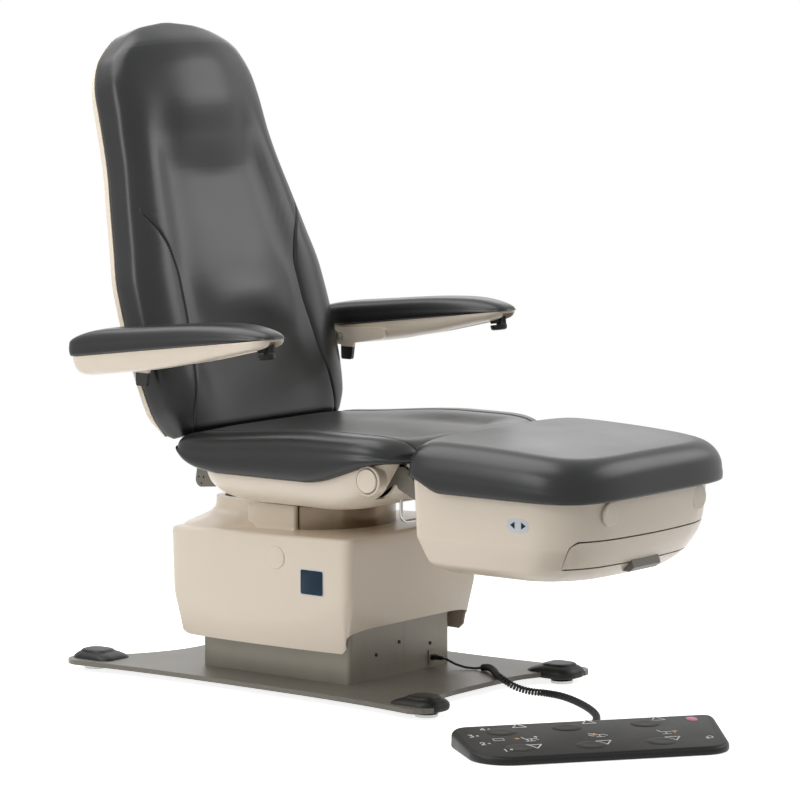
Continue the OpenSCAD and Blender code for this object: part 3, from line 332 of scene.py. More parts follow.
def makeMaterial(name, base, rough, spread, spreadScale, grain=0, cells=0, depth=0.05, roughSpread=0.05,
                 metallic=0.0, stretch=(1, 1, 1), level=0.5, reliefHeight=0.0006):
    # Cloudy colour and roughness, with a fine grain or leather cells as relief
    material = bpy.data.materials.new(name)
    material.use_nodes = True
    tree = material.node_tree
    place = addNode(tree, "TexCoord").outputs["Object"]
    warp = addNode(tree, "Mapping", {"Scale": stretch}, {"Vector": place}).outputs["Vector"]
    cloud = addNode(tree, "TexNoise", {"Scale": spreadScale, "Detail": 4}, {"Vector": warp}).outputs["Fac"]
    dark, light = [c * (1 - spread) for c in base] + [1], [min(1, c * (1 + spread)) for c in base] + [1]
    tint = addNode(tree, "Mix", {"A": dark, "B": light}, {"Factor": cloud}, data_type="RGBA")
    haze = addNode(tree, "MapRange", {"To Min": max(0.05, rough - roughSpread),
                                      "To Max": min(1, rough + roughSpread)}, {"Value": cloud})
    if cells:
        pebble = addNode(tree, "TexVoronoi", {"Scale": cells}, {"Vector": place}, feature="SMOOTH_F1")
        height = pebble.outputs["Distance"]
    else:
        height = addNode(tree, "TexNoise", {"Scale": grain, "Detail": 2}, {"Vector": warp}).outputs["Fac"]
    relief = addNode(tree, "Bump", {"Strength": depth, "Distance": reliefHeight}, {"Height": height})
    shader = tree.nodes["Principled BSDF"]
    tree.links.new(tint.outputs["Result"], shader.inputs["Base Color"])
    tree.links.new(haze.outputs["Result"], shader.inputs["Roughness"])
    tree.links.new(relief.outputs["Normal"], shader.inputs["Normal"])
    shader.inputs["Metallic"].default_value = metallic
    shader.inputs["Specular IOR Level"].default_value = level
    return material


def dress(obj, material):
    if not obj.data.materials:
        obj.data.materials.append(material)
    for i in range(len(obj.data.materials)):
        obj.data.materials[i] = material


paint = {name: makeMaterial(name, **values) for name, values in finishes.items()}
slotOf = {row["node"]: row["material_slot"] for row in frame["record"]["subparts"]}
for name, obj in nodes.items():
    dress(obj, paint[carriedFinish.get(name, slotOf[name])])
# The arm carriers: beige brackets with a black tab
tabPaint = makeMaterial("carrierTab", **finishes["beige_moulding"])
tree = tabPaint.node_tree
baseColour = tree.nodes["Principled BSDF"].inputs["Base Color"]
beige = baseColour.links[0].from_socket
place = next(n for n in tree.nodes if n.type == "TEX_COORD").outputs["Object"]
spot = addNode(tree, "SeparateXYZ", feeds={"Vector": place})
under = addNode(tree, "MapRange", {"From Min": tab["blackBelow"], "From Max": tab["beigeAbove"]},
                {"Value": spot.outputs["Z"]})
blend = addNode(tree, "Mix", {"A": tab["colour"]}, {"Factor": under.outputs["Result"], "B": beige},
                data_type="RGBA")
tree.links.new(blend.outputs["Result"], baseColour)
for side in ("left", "right"):
    dress(nodes["arm_carrier_" + side], tabPaint)
print("materials set on the carried nodes")

# Camera

view = dict(azimuth=-52.24, elevation=6.54, distance=7.5, lens=182.3, target=(-0.00214, -0.17789, 0.53626))
camera = bpy.data.objects.new("camera", bpy.data.cameras.new("camera"))
scene.collection.objects.link(camera)
scene.camera = camera
azimuth, elevation = math.radians(view["azimuth"]), math.radians(view["elevation"])
back = Vector((math.sin(azimuth) * math.cos(elevation), -math.cos(azimuth) * math.cos(elevation),
               math.sin(elevation)))
camera.location = Vector(view["target"]) + back * view["distance"]
camera.rotation_mode = "QUATERNION"
camera.rotation_quaternion = (-back).to_track_quat("-Z", "Y")
camera.data.sensor_width = 36
camera.data.lens = view["lens"]
camera.data.clip_end = 60

# Control cord, along the route of part.scad

cordStyle = dict(curls=92, diameter=4.6, curlDiameter=14, steps=16)
plugAt = np.array([97, -180, 40.0])
lead = [[97, -207, 40], [98, -214, 38], [103, -228, 31], [110, -246, 26], [116, -264, 25]]
route = np.array([[119, -276, 27], [112, -300, 31], [88, -330, 31], [62, -356, 30], [50, -382, 25], [52, -406, 15],
                  [60, -432, 9], [67, -465, 8], [60, -506, 8], [31, -560, 8], [-11, -617, 8], [-58, -664, 8],
                  [-110, -697, 8], [-138, -704, 9]], float)
control = dict(at=(-278, -803), turn=-37.3, length=460, width=206, high=32, low=15)
turn = math.radians(control["turn"])
controlX = np.array([math.cos(turn), math.sin(turn)])
controlY = np.array([-math.sin(turn), math.cos(turn)])
reliefAt = np.array(control["at"]) + 6 * controlX + (control["width"] / 2 - 1) * controlY
reliefTurn = math.radians(control["turn"] - 42)
reliefDir = np.array([-math.sin(reliefTurn), math.cos(reliefTurn), 0])
reliefTip = np.array([reliefAt[0], reliefAt[1], 14]) + 30 * reliefDir


def along(points, t):
    n = len(points) - 1
    i = min(n - 1, int(t))
    u = t - i
    a, b, c, d = points[max(0, i - 1)], points[i], points[i + 1], points[min(n, i + 2)]
    return b + u * 0.5 * ((c - a) + u * ((2 * a - 5 * b + 4 * c - d) + u * (3 * b - a - 3 * c + d)))


fine = np.array([along(route, i / 600 * (len(route) - 1)) for i in range(601)])
reach = np.concatenate([[0], np.cumsum(np.linalg.norm(np.diff(fine, axis=0), axis=1))])
total = reach[-1]
steps = cordStyle["curls"] * cordStyle["steps"]
radius = (cordStyle["curlDiameter"] - cordStyle["diameter"]) / 2


def onRoute(s):
    return np.array([np.interp(s, reach, fine[:, k]) for k in range(3)])


coil = []
for i in range(1, steps):
    s = total * i / steps
    d = onRoute(min(total, s + 6)) - onRoute(max(0, s - 6))
    d /= np.linalg.norm(d)
    a = np.array([d[1], -d[0], 0])
    a /= np.linalg.norm(a)
    b = np.cross(a, d)
    r = radius * float(smooth(min(i, steps - i) / cordStyle["steps"]))
    w = 2 * math.pi * i / cordStyle["steps"]
    coil.append(onRoute(s) + r * (math.cos(w) * a + math.sin(w) * b))
plugEnd = [plugAt + [0, -22, 0], plugAt + [0, -27, -0.3]]
cordLine = np.array(plugEnd + lead + coil + [reliefTip + reliefDir * 5, reliefTip], float)
line = bpy.data.curves.new("controlCord", "CURVE")
line.dimensions = "3D"
spline = line.splines.new("POLY")
spline.points.add(len(cordLine) - 1)
for p, q in zip(spline.points, cordLine * mm):
    p.co = (*q, 1)
line.bevel_depth, line.bevel_resolution = cordStyle["diameter"] / 2 * mm, 2
cord = bpy.data.objects.new("controlCord", line)
scene.collection.objects.link(cord)
line.materials.append(paint["cord_sheath"])
settle(cord, "cord_sheath", "control_cord")

# Foot control: wedge, membrane and its graphics


def controlTop(y):
    return mix(control["low"], control["high"], np.asarray(y, float) / control["width"] + 0.5)


def controlRing(d, z=None, drop=0.0):
    # Outline drawn in by d, level at z or following the slope at a drop below it
    points = []
    for q, r, start in (((1, -1), 44, 270), ((1, 1), 18, 0), ((-1, 1), 34, 90), ((-1, -1), 70, 180)):
        for k in range(15):
            a = math.radians(start + 90 * k / 14)
            x = q[0] * (control["length"] / 2 - 4 - r) + (r - d) * math.cos(a)
            y = q[1] * (control["width"] / 2 - r) + (r - d) * math.sin(a)
            x += 36 * max(0, (x - 120) / 110) * (y / control["width"] + 0.5)
            points.append((x, y, z if z is not None else float(controlTop(y)) - drop))
    return points


def onControl(points):
    p = np.asarray(points, float)
    flat = np.array(control["at"]) + p[:, :1] * controlX + p[:, 1:2] * controlY
    return np.concatenate([flat, p[:, 2:]], 1)


v, f = loft([controlRing(6, 0), controlRing(2, 1), controlRing(0.4, 3), controlRing(0, 5), controlRing(0.3, drop=8),
             controlRing(1.2, drop=5.2), controlRing(2.6, drop=3.4), controlRing(4.4, drop=2.5)], True, True)
build("footControl", (onControl(v), f), "black_moulding", 40, "foot_control")

mat = [loft([controlRing(4.4, drop=2.5), controlRing(4.8, drop=1.2), controlRing(6, drop=0.4),
             controlRing(8, drop=0)], False, True)]
keys = [(-142, 53), (-138, -48), (-22, 60), (-13, -52), (121, 60), (114, -52)]
keyStretch = dict(x=1.12, y=0.92)
for kx, ky in keys:
    rings = []
    for r, h in ((25, -0.3), (23.4, 0.5), (21, 1.0), (17, 1.3), (12, 1.35), (9, 1.2), (0.5, 1.1)):
        ring = [(kx + keyStretch["x"] * r * math.cos(a), ky + keyStretch["y"] * r * math.sin(a))
                for a in np.linspace(0, 2 * math.pi, 40, endpoint=False)]
        rings.append([(x, y, float(controlTop(y)) + h) for x, y in ring])
    mat.append(loft(rings, False, True))
v, f = join(*mat)
build("footMembrane", (onControl(v), f), "overlay", 40, "foot_control_mat")


def keyLift(x, y):
    # Height of the raised keys over the sloping membrane
    h = np.zeros_like(np.asarray(x, float))
    for kx, ky in keys:
        r = np.hypot((x - kx) / keyStretch["x"], (y - ky) / keyStretch["y"])
        h = np.maximum(h, np.interp(r, [0, 9, 12, 17, 21, 23.4, 25], [1.1, 1.2, 1.35, 1.3, 1.0, 0.5, 0]))
    return h


def flatPrint(shapes, lift=0.4):
    # Thin coloured shapes lying on the membrane, as fans of short edges
    parts = []
    for shape in shapes:
        p = np.array(shape, float)
        z = controlTop(p[:, 1]) + keyLift(p[:, 0], p[:, 1]) + lift
        top = np.column_stack([p, z])
        low = np.column_stack([p, z - 0.35])
        n = len(p)
        area = np.sum(p[:, 0] * np.roll(p[:, 1], -1) - np.roll(p[:, 0], -1) * p[:, 1])
        order = list(range(n)) if area > 0 else list(range(n - 1, -1, -1))
        faces = [tuple(order)]
        for k in range(n):
            a, b = order[k], order[(k + 1) % n]
            faces.append((b, a, a + n, b + n))
        parts.append((onControl(np.concatenate([top, low])), faces))
    return join(*parts)


def stroke(a, b, width):
    a, b = np.array(a, float), np.array(b, float)
    d = (b - a) / np.linalg.norm(b - a)
    n = np.array([-d[1], d[0]]) * width / 2
    return [a - n, b - n, b + n, a + n]


def strokes(points, width, closed=False):
    # Cut into short lengths, so that they follow the keys
    pairs = list(zip(points[:-1], points[1:])) + ([(points[-1], points[0])] if closed else [])
    shapes = []
    for a, b in pairs:
        a, b = np.array(a, float), np.array(b, float)
        n = max(1, int(np.linalg.norm(b - a) / 2.5))
        shapes += [stroke(mix(a, b, k / n), mix(a, b, (k + 1) / n), width) for k in range(n)]
    return shapes


def moved(shapes, x, y, k=1.0):
    return [[(x + k * p[0], y + k * p[1]) for p in s] for s in shapes]


whites, oranges = [], []
for x, y in ((-102, 84), (25, 86), (151, 84)):
    whites += strokes([(x - 13, y - 9), (x, y + 13), (x + 12, y - 9)], 2.2, True)
for x, y in ((-109, -42), (16, -40), (141, -38)):
    whites += strokes([(x - 14, y + 9), (x + 13, y + 9), (x, y - 13)], 2.2, True)
digits = {"1": [[(0, 4), (1.5, 6), (1.5, -6)]],
          "2": [[(-3, 4), (-1.5, 6), (2, 6), (3.4, 4), (3, 1), (-3, -6), (3.5, -6)]],
          "3": [[(-3, 6), (3, 6), (0, 1.2), (3, 0), (3.3, -3.4), (1, -6), (-3, -5.2)]],
          "4": [[(2, -6), (2, 6), (-3.4, -2), (4, -2)]]}
for digit, x, y in (("4", -170, 74), ("3", -201, 37), ("2", -194, -12), ("1", -168, -58)):
    for row in digits[digit]:
        whites += moved(strokes(row, 1.7), x, y, 1.15)
    whites += moved(strokes([(9, 0), (13, 3), (13, -3)], 1.0, True), x, y)
# Side views of the chair for the three pairs of keys
lift = [[(-10, 13), (-6, 0), (10, 1), (16, -6)], [(-4, -1), (-3, -11)], [(4, 0), (3, -11)], [(-9, -12), (9, -12)],
        [(15, 3), (15, 13)], [(12, 10), (15, 14), (18, 10)]]
recline = [[(-16, 11), (-7, 0), (9, 1), (14, -7)], [(0, -1), (0, -11)], [(-8, -12), (8, -12)],
           [(-18, 2), (-15, -4), (-10, -7)]]
leg = [[(-11, 13), (-7, 0), (8, 1), (19, 1)], [(0, -1), (0, -11)], [(-8, -12), (8, -12)], [(17, -3), (14, -9)]]
for shape, x, y in ((lift, -108, 2), (recline, 19, 6), (leg, 138, 2)):
    for row in shape:
        whites += moved(strokes(row, 1.5), x, y)
for x, y in ((-127, 8), (12, 12), (157, 4)):
    star = [(2.4 if i % 2 else 5.5, math.pi * i / 5) for i in range(10)]
    oranges.append([(x + r * math.cos(a), y + r * math.sin(a)) for r, a in star])
whites += strokes([(198, -40), (206, -36), (210, -42), (206, -49), (199, -48)], 1.8)
whites += [[(194, -48), (201, -43), (201, -53)]]
whites += moved(strokes([(-9, -6), (-9, 6), (9, 6), (9, -6)], 1.0, True), -160, 8)
pinks = [[(211 + 10 * math.cos(a), 73 + 13 * math.sin(a))
          for a in np.linspace(0, 2 * math.pi, 28, endpoint=False)]]
for name, shapes, colour in (("printWhite", whites, "print_white"), ("printOrange", oranges, "print_orange"),
                             ("printPink", pinks, "print_pink")):
    build(name, flatPrint(shapes), colour, 0, slot="overlay", body="base")
print("foot control built")

# Upper shroud: one moulding with a drawn-in skirt below a curved crease

shroud = dict(half=201, front=213, rear=219, topFront=300, topRear=289, edge=8, skirt=84, wall=4, crease=125,
              fold=0.215, foldSoft=2.5, draft=0.018, draftFrom=290, archFront=45, archRear=25, turret=132.4)


def shroudTop(y):
    return mix(shroud["topFront"], shroud["topRear"], (y + shroud["front"]) / (shroud["front"] + shroud["rear"]))


def shroudSide(z):
    # Half width of the drafted wall above the crease
    return shroud["half"] - shroud["draft"] * (shroud["draftFrom"] - z)


base, outward = roundedRing(shroud["half"], -shroud["front"], shroud["rear"], 22, 20, 12, 36)
bx, by = base[:, 0], base[:, 1]


def archRise(height, past):
    inward = 200 - np.abs(bx) + np.clip(past, -200, 40) * 0.8 - 4
    return height * (1 - np.exp(-np.clip(inward, 0, 400) / 30))


# The crease runs lowest in the middle and climbs towards the corners
creaseSide = shroud["crease"] + np.where(by < 50, 58 * (np.clip(50 - by, 0, 263) / 250) ** 2.2,
                                         40 * (np.clip(by - 50, 0, 170) / 165) ** 2.2)
creaseEnd = shroud["crease"] + 58 * (np.abs(bx) / 195) ** 2.2
crease = mix(creaseEnd, creaseSide, smooth(np.abs(outward[:, 0]) * 1.3 - 0.15))
# The lower edge: skirts at the sides, an arch in the front and a lower one at the rear
bottom = shroud["skirt"] + np.where(by < 0, archRise(shroud["archFront"], -by - 175) * smooth((-by - 168) / 20),
                                    archRise(shroud["archRear"], by - 180) * smooth((by - 172) / 20))
rows = []
for t in np.concatenate([np.linspace(0, 0.06, 3), np.linspace(0.1, 0.9, 30)]):
    z = mix(bottom, shroudTop(by) - shroud["edge"], t)
    fold = shroud["fold"] * softplus(crease - z, shroud["foldSoft"])
    fold = fold + shroud["draft"] * np.clip(shroud["draftFrom"] - z, 0, 300)
    rows.append(np.column_stack([base - outward * fold[:, None], z]))
for a in np.linspace(0, 90, 9)[1:]:
    z = shroudTop(by) - shroud["edge"] + shroud["edge"] * math.sin(math.radians(a))
    d = shroud["edge"] * (1 - math.cos(math.radians(a)))
    rows.append(np.column_stack([base - outward * d, z]))
rim = rows[-1][:, :2]
angle = np.arctan2(rim[:, 1], rim[:, 0])
hole = np.column_stack([shroud["turret"] * np.cos(angle), shroud["turret"] * np.sin(angle)])
for t in (0.33, 0.66, 1):
    inner = mix(rim, hole, t)
    rows.append(np.column_stack([inner, shroudTop(inner[:, 1])]))
build("shroudCover", loft(rows), "beige_moulding", 35, "upper_shroud", wall=shroud["wall"])

cap = dict(y=-42, z=253, radius=21)
capX = shroudSide(cap["z"]) + 0.6
capProfile = [(0.5, -1), (cap["radius"], -1), (cap["radius"], 0.9), (cap["radius"] - 0.8, 1.7),
              (cap["radius"] - 3, 2.2), (8, 2.7), (0.5, 2.8)]
caps = [lathe(capProfile, 56, axis, (x, cap["y"], cap["z"])) for axis, x in (("x", capX), ("-x", -capX))]
build("shroudPlugs", join(*caps), "beige_moulding", 30, "shroud_caps")

# Bare nameplate, with a thin bezel
plate = dict(y=-127, z=214, width=56, height=49)
plateX = -shroudSide(plate["z"])
for name, grow, thick, colour in (("nameplateRim", 0, 0.7, "print_grey"), ("nameplate", -2, 1.1, "print_blue")):
    w, h = plate["width"] / 2 + grow, plate["height"] / 2 + grow
    outline, _ = roundedRing(w, -h, h, 4, 4, 6, 2)
    rings = [[(plateX + 0.6 - thick * t, plate["y"] - k * y, plate["z"] + k * z) for y, z in outline]
             for t, k in ((0, 1), (1.6, 1), (2, 0.97))]
    build(name, loft(rings, True, True), colour, 30, slot="overlay", body="carriage")

# Neck: a swept hump round the turret with its side panels

neck = dict(top=341, foot=283, flareFrom=288, half=126, footHalf=188, rear=186, footRear=215, wall=4)
turretHole = lathe([(1, 278), (shroud["turret"], 278), (shroud["turret"], 360), (1, 360)], 96)
rings = []
for z in np.concatenate([np.linspace(neck["foot"], 300, 8), np.linspace(303, neck["top"], 12)]):
    flare = float(smooth((neck["top"] - z) / (neck["top"] - neck["flareFrom"]))) ** 3
    p, _ = roundedRing(mix(neck["half"], neck["footHalf"], flare), 20, mix(neck["rear"], neck["footRear"], flare),
                       30, 42, 10, 12)
    x, y = p.T
    wide = neck["half"] + (np.abs(x) - neck["half"]) * smooth((y - 12) / 120)
    x = np.where(np.abs(x) > neck["half"], np.sign(x) * wide, x)
    rings.append(np.column_stack([x, y, np.maximum(z, shroudTop(y) - 0.5)]))
lip = mix(rings[-1][:, :2], np.array([0, 100]), 0.12)
rings.append(np.column_stack([lip, np.full(len(lip), neck["top"])]))
build("neckCover", loft(rings), "beige_moulding", 40, "neck_cover", wall=neck["wall"], cuts=[turretHole])
outline, _ = roundedRing(7, -57, 57, 6, 6, 6, 10)
panel = loft([[(134 + x * k, 19 + y * k2, z) for x, y in outline]
              for k, k2, z in ((1.25, 1.03, 291), (1.25, 1.03, 294), (1.05, 1.01, 297), (1, 1, 303), (1, 1, 338),
                               (0.9, 0.985, 341))], True, True)
build("neckPanels", join(panel, mirrored(panel)), "beige_moulding", 40, cuts=[turretHole], body="carriage")
print("shroud and neck built")

# Seat pan and leg tub: bowls cut off by the cushions' undersides


def ringAll(ringAt, z):
    # One point per column, each on the ring of its own height
    values = np.round(z, 3)
    out = np.zeros((len(z), 2))
    for value in np.unique(values):
        ring = ringAt(float(value))
        pick = values == value
        out[pick] = ring[pick]
    return out


def bowl(name, ringAt, low, high, wall, hole=None, count=26):
    # The rows' heights depend on where their points lie, so they are found in rounds
    rows = []
    for t in np.linspace(0, 1, count) ** 1.35:
        z = np.full(len(ringAt(low)), low, float)
        for _ in range(14):
            z = mix(low, high(ringAll(ringAt, z)[:, 1]), t)
        rows.append(np.column_stack([ringAll(ringAt, z), z]))
    first = rows[0]
    if hole:
        a = np.arctan2(first[:, 1], first[:, 0])
        edge = np.column_stack([hole * np.cos(a), hole * np.sin(a), first[:, 2]])
        part = loft([edge, mix(edge, first, 0.5)] + rows)
    else:
        middle = first.mean(0)
        part = loft([mix(middle, first, 0.02), mix(middle, first, 0.5)] + rows, True)
    obj = addMesh(name, part, paint["beige_moulding"], 35)
    thicken(obj, wall)
    return obj


pan = dict(floor=345, wall=4, hole=99, hingeY=-292, hingeZ=420)
# Height, half width, front and rear
panRows = [[345, 140, -165, 40], [349, 175, -195, 66], [358, 206, -228, 88], [372, 228, -262, 104],
           [390, 240, -292, 114], [410, 245, -306, 118], [430, 246, -319, 119], [452, 246, -333, 120]]


def seatLow(y):
    return 407 + 45 * smooth((-150 - np.asarray(y, float)) / 185)


def panRing(z):
    x, front, rear = (float(curveAt([[row[0], row[k]] for row in panRows], z)) for k in (1, 2, 3))
    return roundedRing(x, front, rear, 60, 60, 10, 20)[0]


piece = bowl("seatPan", panRing, pan["floor"], lambda y: seatLow(y) - 1, pan["wall"], pan["hole"])
carveBoth(piece, (142, 150, 60, 140, 362, 470), (177, 199, -380, -272, 380, 470), (75, 85, -252, -235, 330, 380))
settle(piece, "beige_moulding", "seat_pan")
bossRim = [(20, 218), (27, 221), (28, 236), (28, 244.5), (26.6, 246.4), (24.4, 246.4), (23.6, 243), (23, 240),
           (1, 240)]
bossCap = [(1, 241), (21.8, 241), (21.8, 248), (21, 249), (18.5, 249.8), (8, 250.4), (1, 250.5)]
bosses = [lathe(profile, 56, axis, (0, pan["hingeY"], pan["hingeZ"]))
          for axis in ("x", "-x") for profile in (bossRim, bossCap)]
build("hingeCaps", join(*bosses), "beige_moulding", 30, "pan_caps")


def legLow(y):
    return 411 + 25 * smooth((np.asarray(y, float) + 462) / 70)


tub = dict(half=239, front=760, rear=385, floor=263, crease=327, bow=9, wall=4)
# How far the front stands back at each height
noseRows = [[263, 70], [272, 56], [280, 46], [288, 38], [300, 29], [320, 17], [341, 9], [370, 4], [440, 0]]


def tubInset(z):
    return 0.03 * (440 - z) + 0.30 * float(softplus(tub["crease"] - z, 1.6)) + 26 * max(0, (286 - z) / 23) ** 2.4


def tubRing(z):
    d = tubInset(z)
    nose = float(curveAt(noseRows, z))
    p, outward = roundedRing(tub["half"] - d, -tub["front"] + nose, -tub["rear"] - d * 1.05, 112 - d * 0.4, 16,
                             12, 24)
    p[:, 1] += tub["bow"] * np.clip((p[:, 0] / 133) ** 2, 0, 1.3) * np.clip(-outward[:, 1], 0, 1)
    return p


def trayZone(gap):
    # The part of the tub's nose that belongs to the tray
    return prism([(-790, 341 + gap), (-718 + gap, 341 + gap), (-708 + gap, 333), (-683 + gap, 290 - gap),
                  (-790, 290 - gap)], -270, 270)


piece = bowl("legTub", tubRing, tub["floor"], lambda y: legLow(y) - 0.3, tub["wall"], count=60)
trayFront = piece.copy()
trayFront.data = piece.data.copy()
trayFront.name = "trayFront"
scene.collection.objects.link(trayFront)
carve(trayFront, trayZone(-1), keep=True)
carve(piece, trayZone(1.6))
carveBoth(piece, (185, 199, -412, -366, 381, 402))
settle(piece, "beige_moulding", "leg_housing")
settle(trayFront, "beige_moulding", "debris_tray")

# The tray's box, close behind its front
tray = dict(middle=-604, wall=2.2)


def boxRing(z, share):
    # The tub's ring drawn in at the sides and the rear, about the box's middle
    x, y = tubRing(z).T
    wide = np.abs(x)
    straight = wide - 5 * np.minimum(1, wide / 20)
    rounded = 145 + (wide - 150) * 41 / (wide.max() - 150)
    x = np.sign(x) * np.where(wide < 150, straight, rounded)
    y = np.where(y < -640, y + 5, -635 + (y + 640) * 169 / (y.max() + 640))
    return np.column_stack([x * share, tray["middle"] + (y - tray["middle"]) * share, np.full(len(x), z)])


rings = [boxRing(z, share)
         for z, share in ((302.6, 0.02), (302.6, 0.9), (303.4, 0.99), (306, 1), (321, 1), (336, 1))]
build("trayBox", loft(rings), "beige_moulding", 40, wall=tray["wall"], body="tray")

# Indicator sticker on the near side of the tub
sticker = dict(y=-620, z=368)
stickerX = -(tub["half"] - tubInset(sticker["z"]))
rings = []
for w, h, t in ((24, 13, 0.0), (24, 13, 0.5), (23.2, 12.4, 0.7)):
    rings.append([(stickerX + 0.3 - t, sticker["y"] + w * math.copysign(abs(math.cos(a)) ** 0.8, math.cos(a)),
                   sticker["z"] + h * math.copysign(abs(math.sin(a)) ** 0.8, math.sin(a)))
                  for a in np.linspace(0, 2 * math.pi, 48, endpoint=False)])
build("stickerFace", loft(rings, True, True), "print_grey", 30, slot="overlay", body="leg_slider")
marks = []
for k in (-1, 1):
    mark = [(sticker["y"] + k * 17, sticker["z"]), (sticker["y"] + k * 7, sticker["z"] + 6.5),
            (sticker["y"] + k * 7, sticker["z"] - 6.5)]
    marks.append(prism(mark, stickerX - 0.75, stickerX - 0.3))
build("stickerMarks", join(*marks), "print_blue", 30, slot="overlay", body="leg_slider")
plugProfile = [(1, -2), (22, -2), (22.4, 0.5), (21.4, 2.2), (19.6, 2.9), (17.5, 2.6), (10, 2.9), (1, 3)]
plugs = [lathe(plugProfile, 56, "-y", (x, -tub["front"] + 12.2, 388)) for x in (138, -138)]
build("tubPlugs", join(*plugs), "beige_moulding", 30, "leg_caps")
grip = [(-727, 293.5), (-718.5, 293.5), (-724, 288.5), (-715.5, 280), (-706, 272.3), (-722, 272), (-732, 280)]
build("trayGrip", prism(grip, -42, 42), "taupe_enamel", 30, "tray_pull")
print("pan and tub built")

# Cushions


def easedLines(n, share):
    # n values from -1 to 1, closer together towards both ends
    return mix(np.sin(np.linspace(-np.pi / 2, np.pi / 2, n)), np.linspace(-1, 1, n), share)


def seamLines(half, seam, width, n):
    # Grid lines from -1 to 1 with fine lines at two seams
    one = [seam + k * width / half for k in (-2.2, -1.2, -0.6, -0.25, 0, 0.25, 0.6, 1.2, 2.2)]
    outer = 1 - (1 - one[-1]) * (1 - np.sin(np.linspace(0, np.pi / 2, n // 4 + 1))[1:])
    right = one + list(outer)
    middle = np.linspace(-one[0], one[0], n // 2)[1:-1]
    return np.array([-v for v in reversed(right)] + list(middle) + right)


def padGrid(a, y0, y1, p0, p1, us, vs, topZ, lowZ, radiusTop, radiusLow, swell, groove=None, ears=0):
    # A closed cushion of half width a from y0 to y1: top grid, side rows and underside.
    # p0 and p1 square the outline off at its front and rear; us and vs are the grid's lines
    mid, b = (y0 + y1) / 2, (y1 - y0) / 2
    u, v = np.meshgrid(us, vs)
    power = mix(p0, p1, smooth(v * 2 + 0.5))
    x = a * u * (1 - np.abs(v) ** power / 2) ** (1 / power)
    y = mid + b * v * (1 - np.abs(u) ** power / 2) ** (1 / power)
    rho = (np.abs(x / a) ** power + np.abs((y - mid) / b) ** power) ** (1 / power)
    y = y + ears * smooth((np.abs(x) - a * 0.82) / (a * 0.1)) * smooth((v - 0.55) / 0.45)
    t = np.clip((rho - (1 - radiusTop / a)) / (radiusTop / a), 0, 1)
    z = topZ(x, y) - radiusTop * 0.9 * (1 - np.sqrt(np.clip(1 - t ** 2.2, 0, 1)))
    if groove is not None:
        z = z - groove(u)
    nv, nu = x.shape
    top = np.stack([x, y, z], 2).reshape(-1, 3)
    index = np.arange(nv * nu).reshape(nv, nu)
    rim = list(index[0, :]) + list(index[1:, -1]) + list(index[-1, -2::-1]) + list(index[-2:0:-1, 0])
    edge = top[rim]
    tangent = np.roll(edge[:, :2], -1, 0) - np.roll(edge[:, :2], 1, 0)
    normal = np.stack([tangent[:, 1], -tangent[:, 0]], 1)
    normal /= np.linalg.norm(normal, axis=1)[:, None] + 1e-9
    low = lowZ(edge[:, 1])
    rows = []
    for h in (0.93, 0.82, 0.68, 0.54, 0.40, 0.27, 0.16):
        out = swell * math.sin(math.pi * min(1, h * 1.05)) ** 0.8
        rows.append(np.column_stack([edge[:, :2] + normal * out, mix(low, edge[:, 2], h)]))
    # The lower edge's round, then the underside drawn together towards the middle
    lowest = rows[-1][:, 2]
    for k in range(1, 6):
        ang = math.pi / 2 * k / 5
        inset = radiusLow * (1 - math.cos(ang))
        rows.append(np.column_stack([edge[:, :2] - normal * inset + normal * swell * 0.45 * (1 - k / 5),
                                     lowest - (lowest - low) * math.sin(ang)]))
    last = rows[-1][:, :2]
    for k in (0.9, 0.7, 0.4, 0.1):
        inner = mix(np.array([0, mid]), last, k)
        rows.append(np.column_stack([inner, lowZ(inner[:, 1])]))
    faces = [(index[j, i], index[j, i + 1], index[j + 1, i + 1], index[j + 1, i])
             for j in range(nv - 1) for i in range(nu - 1)]
    n, start, previous = len(rim), len(top), rim
    for _ in rows:
        ids = list(range(start, start + n))
        faces += [(previous[i], ids[i], ids[(i + 1) % n], previous[(i + 1) % n]) for i in range(n)]
        previous, start = ids, start + n
    faces.append(tuple(previous[::-1]))
    return np.concatenate([top] + rows), [tuple(int(q) for q in face) for face in faces], index


stitch = dict(gap=6.0, length=3.6, thick=0.55)


def stitches(name, path, normal, body):
    # Short raised threads along a seam, on a face that looks along normal
    path = np.asarray(path, float)
    run = np.concatenate([[0], np.cumsum(np.linalg.norm(np.diff(path, axis=0), axis=1))])
    n = np.array(normal, float) / np.linalg.norm(normal)
    parts = []
    for s in np.arange(stitch["gap"], run[-1] - stitch["gap"], stitch["gap"]):
        p, q = (np.array([np.interp(at, run, path[:, k]) for k in range(3)]) for at in (s, s + 1))
        d = (q - p) / np.linalg.norm(q - p)
        side = np.cross(d, n)
        rings = []
        for t, r in ((-0.5, 0.3), (-0.35, 0.9), (0, 1.0), (0.35, 0.9), (0.5, 0.3)):
            c = p + d * t * stitch["length"] + n * stitch["thick"] * (0.9 * r - 0.35)
            rings.append([c + stitch["thick"] * r * (math.cos(w) * side + math.sin(w) * n)
                          for w in np.linspace(0, 2 * math.pi, 6, endpoint=False)])
        parts.append(loft(rings, True, True))
    obj = addMesh(name, join(*parts), paint["thread"], 0)
    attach(obj, body)


seat = dict(half=262, front=368, rear=147, dish=482, roll=498, seam=0.775, edge=34, lowEdge=9, swell=4, ears=18)


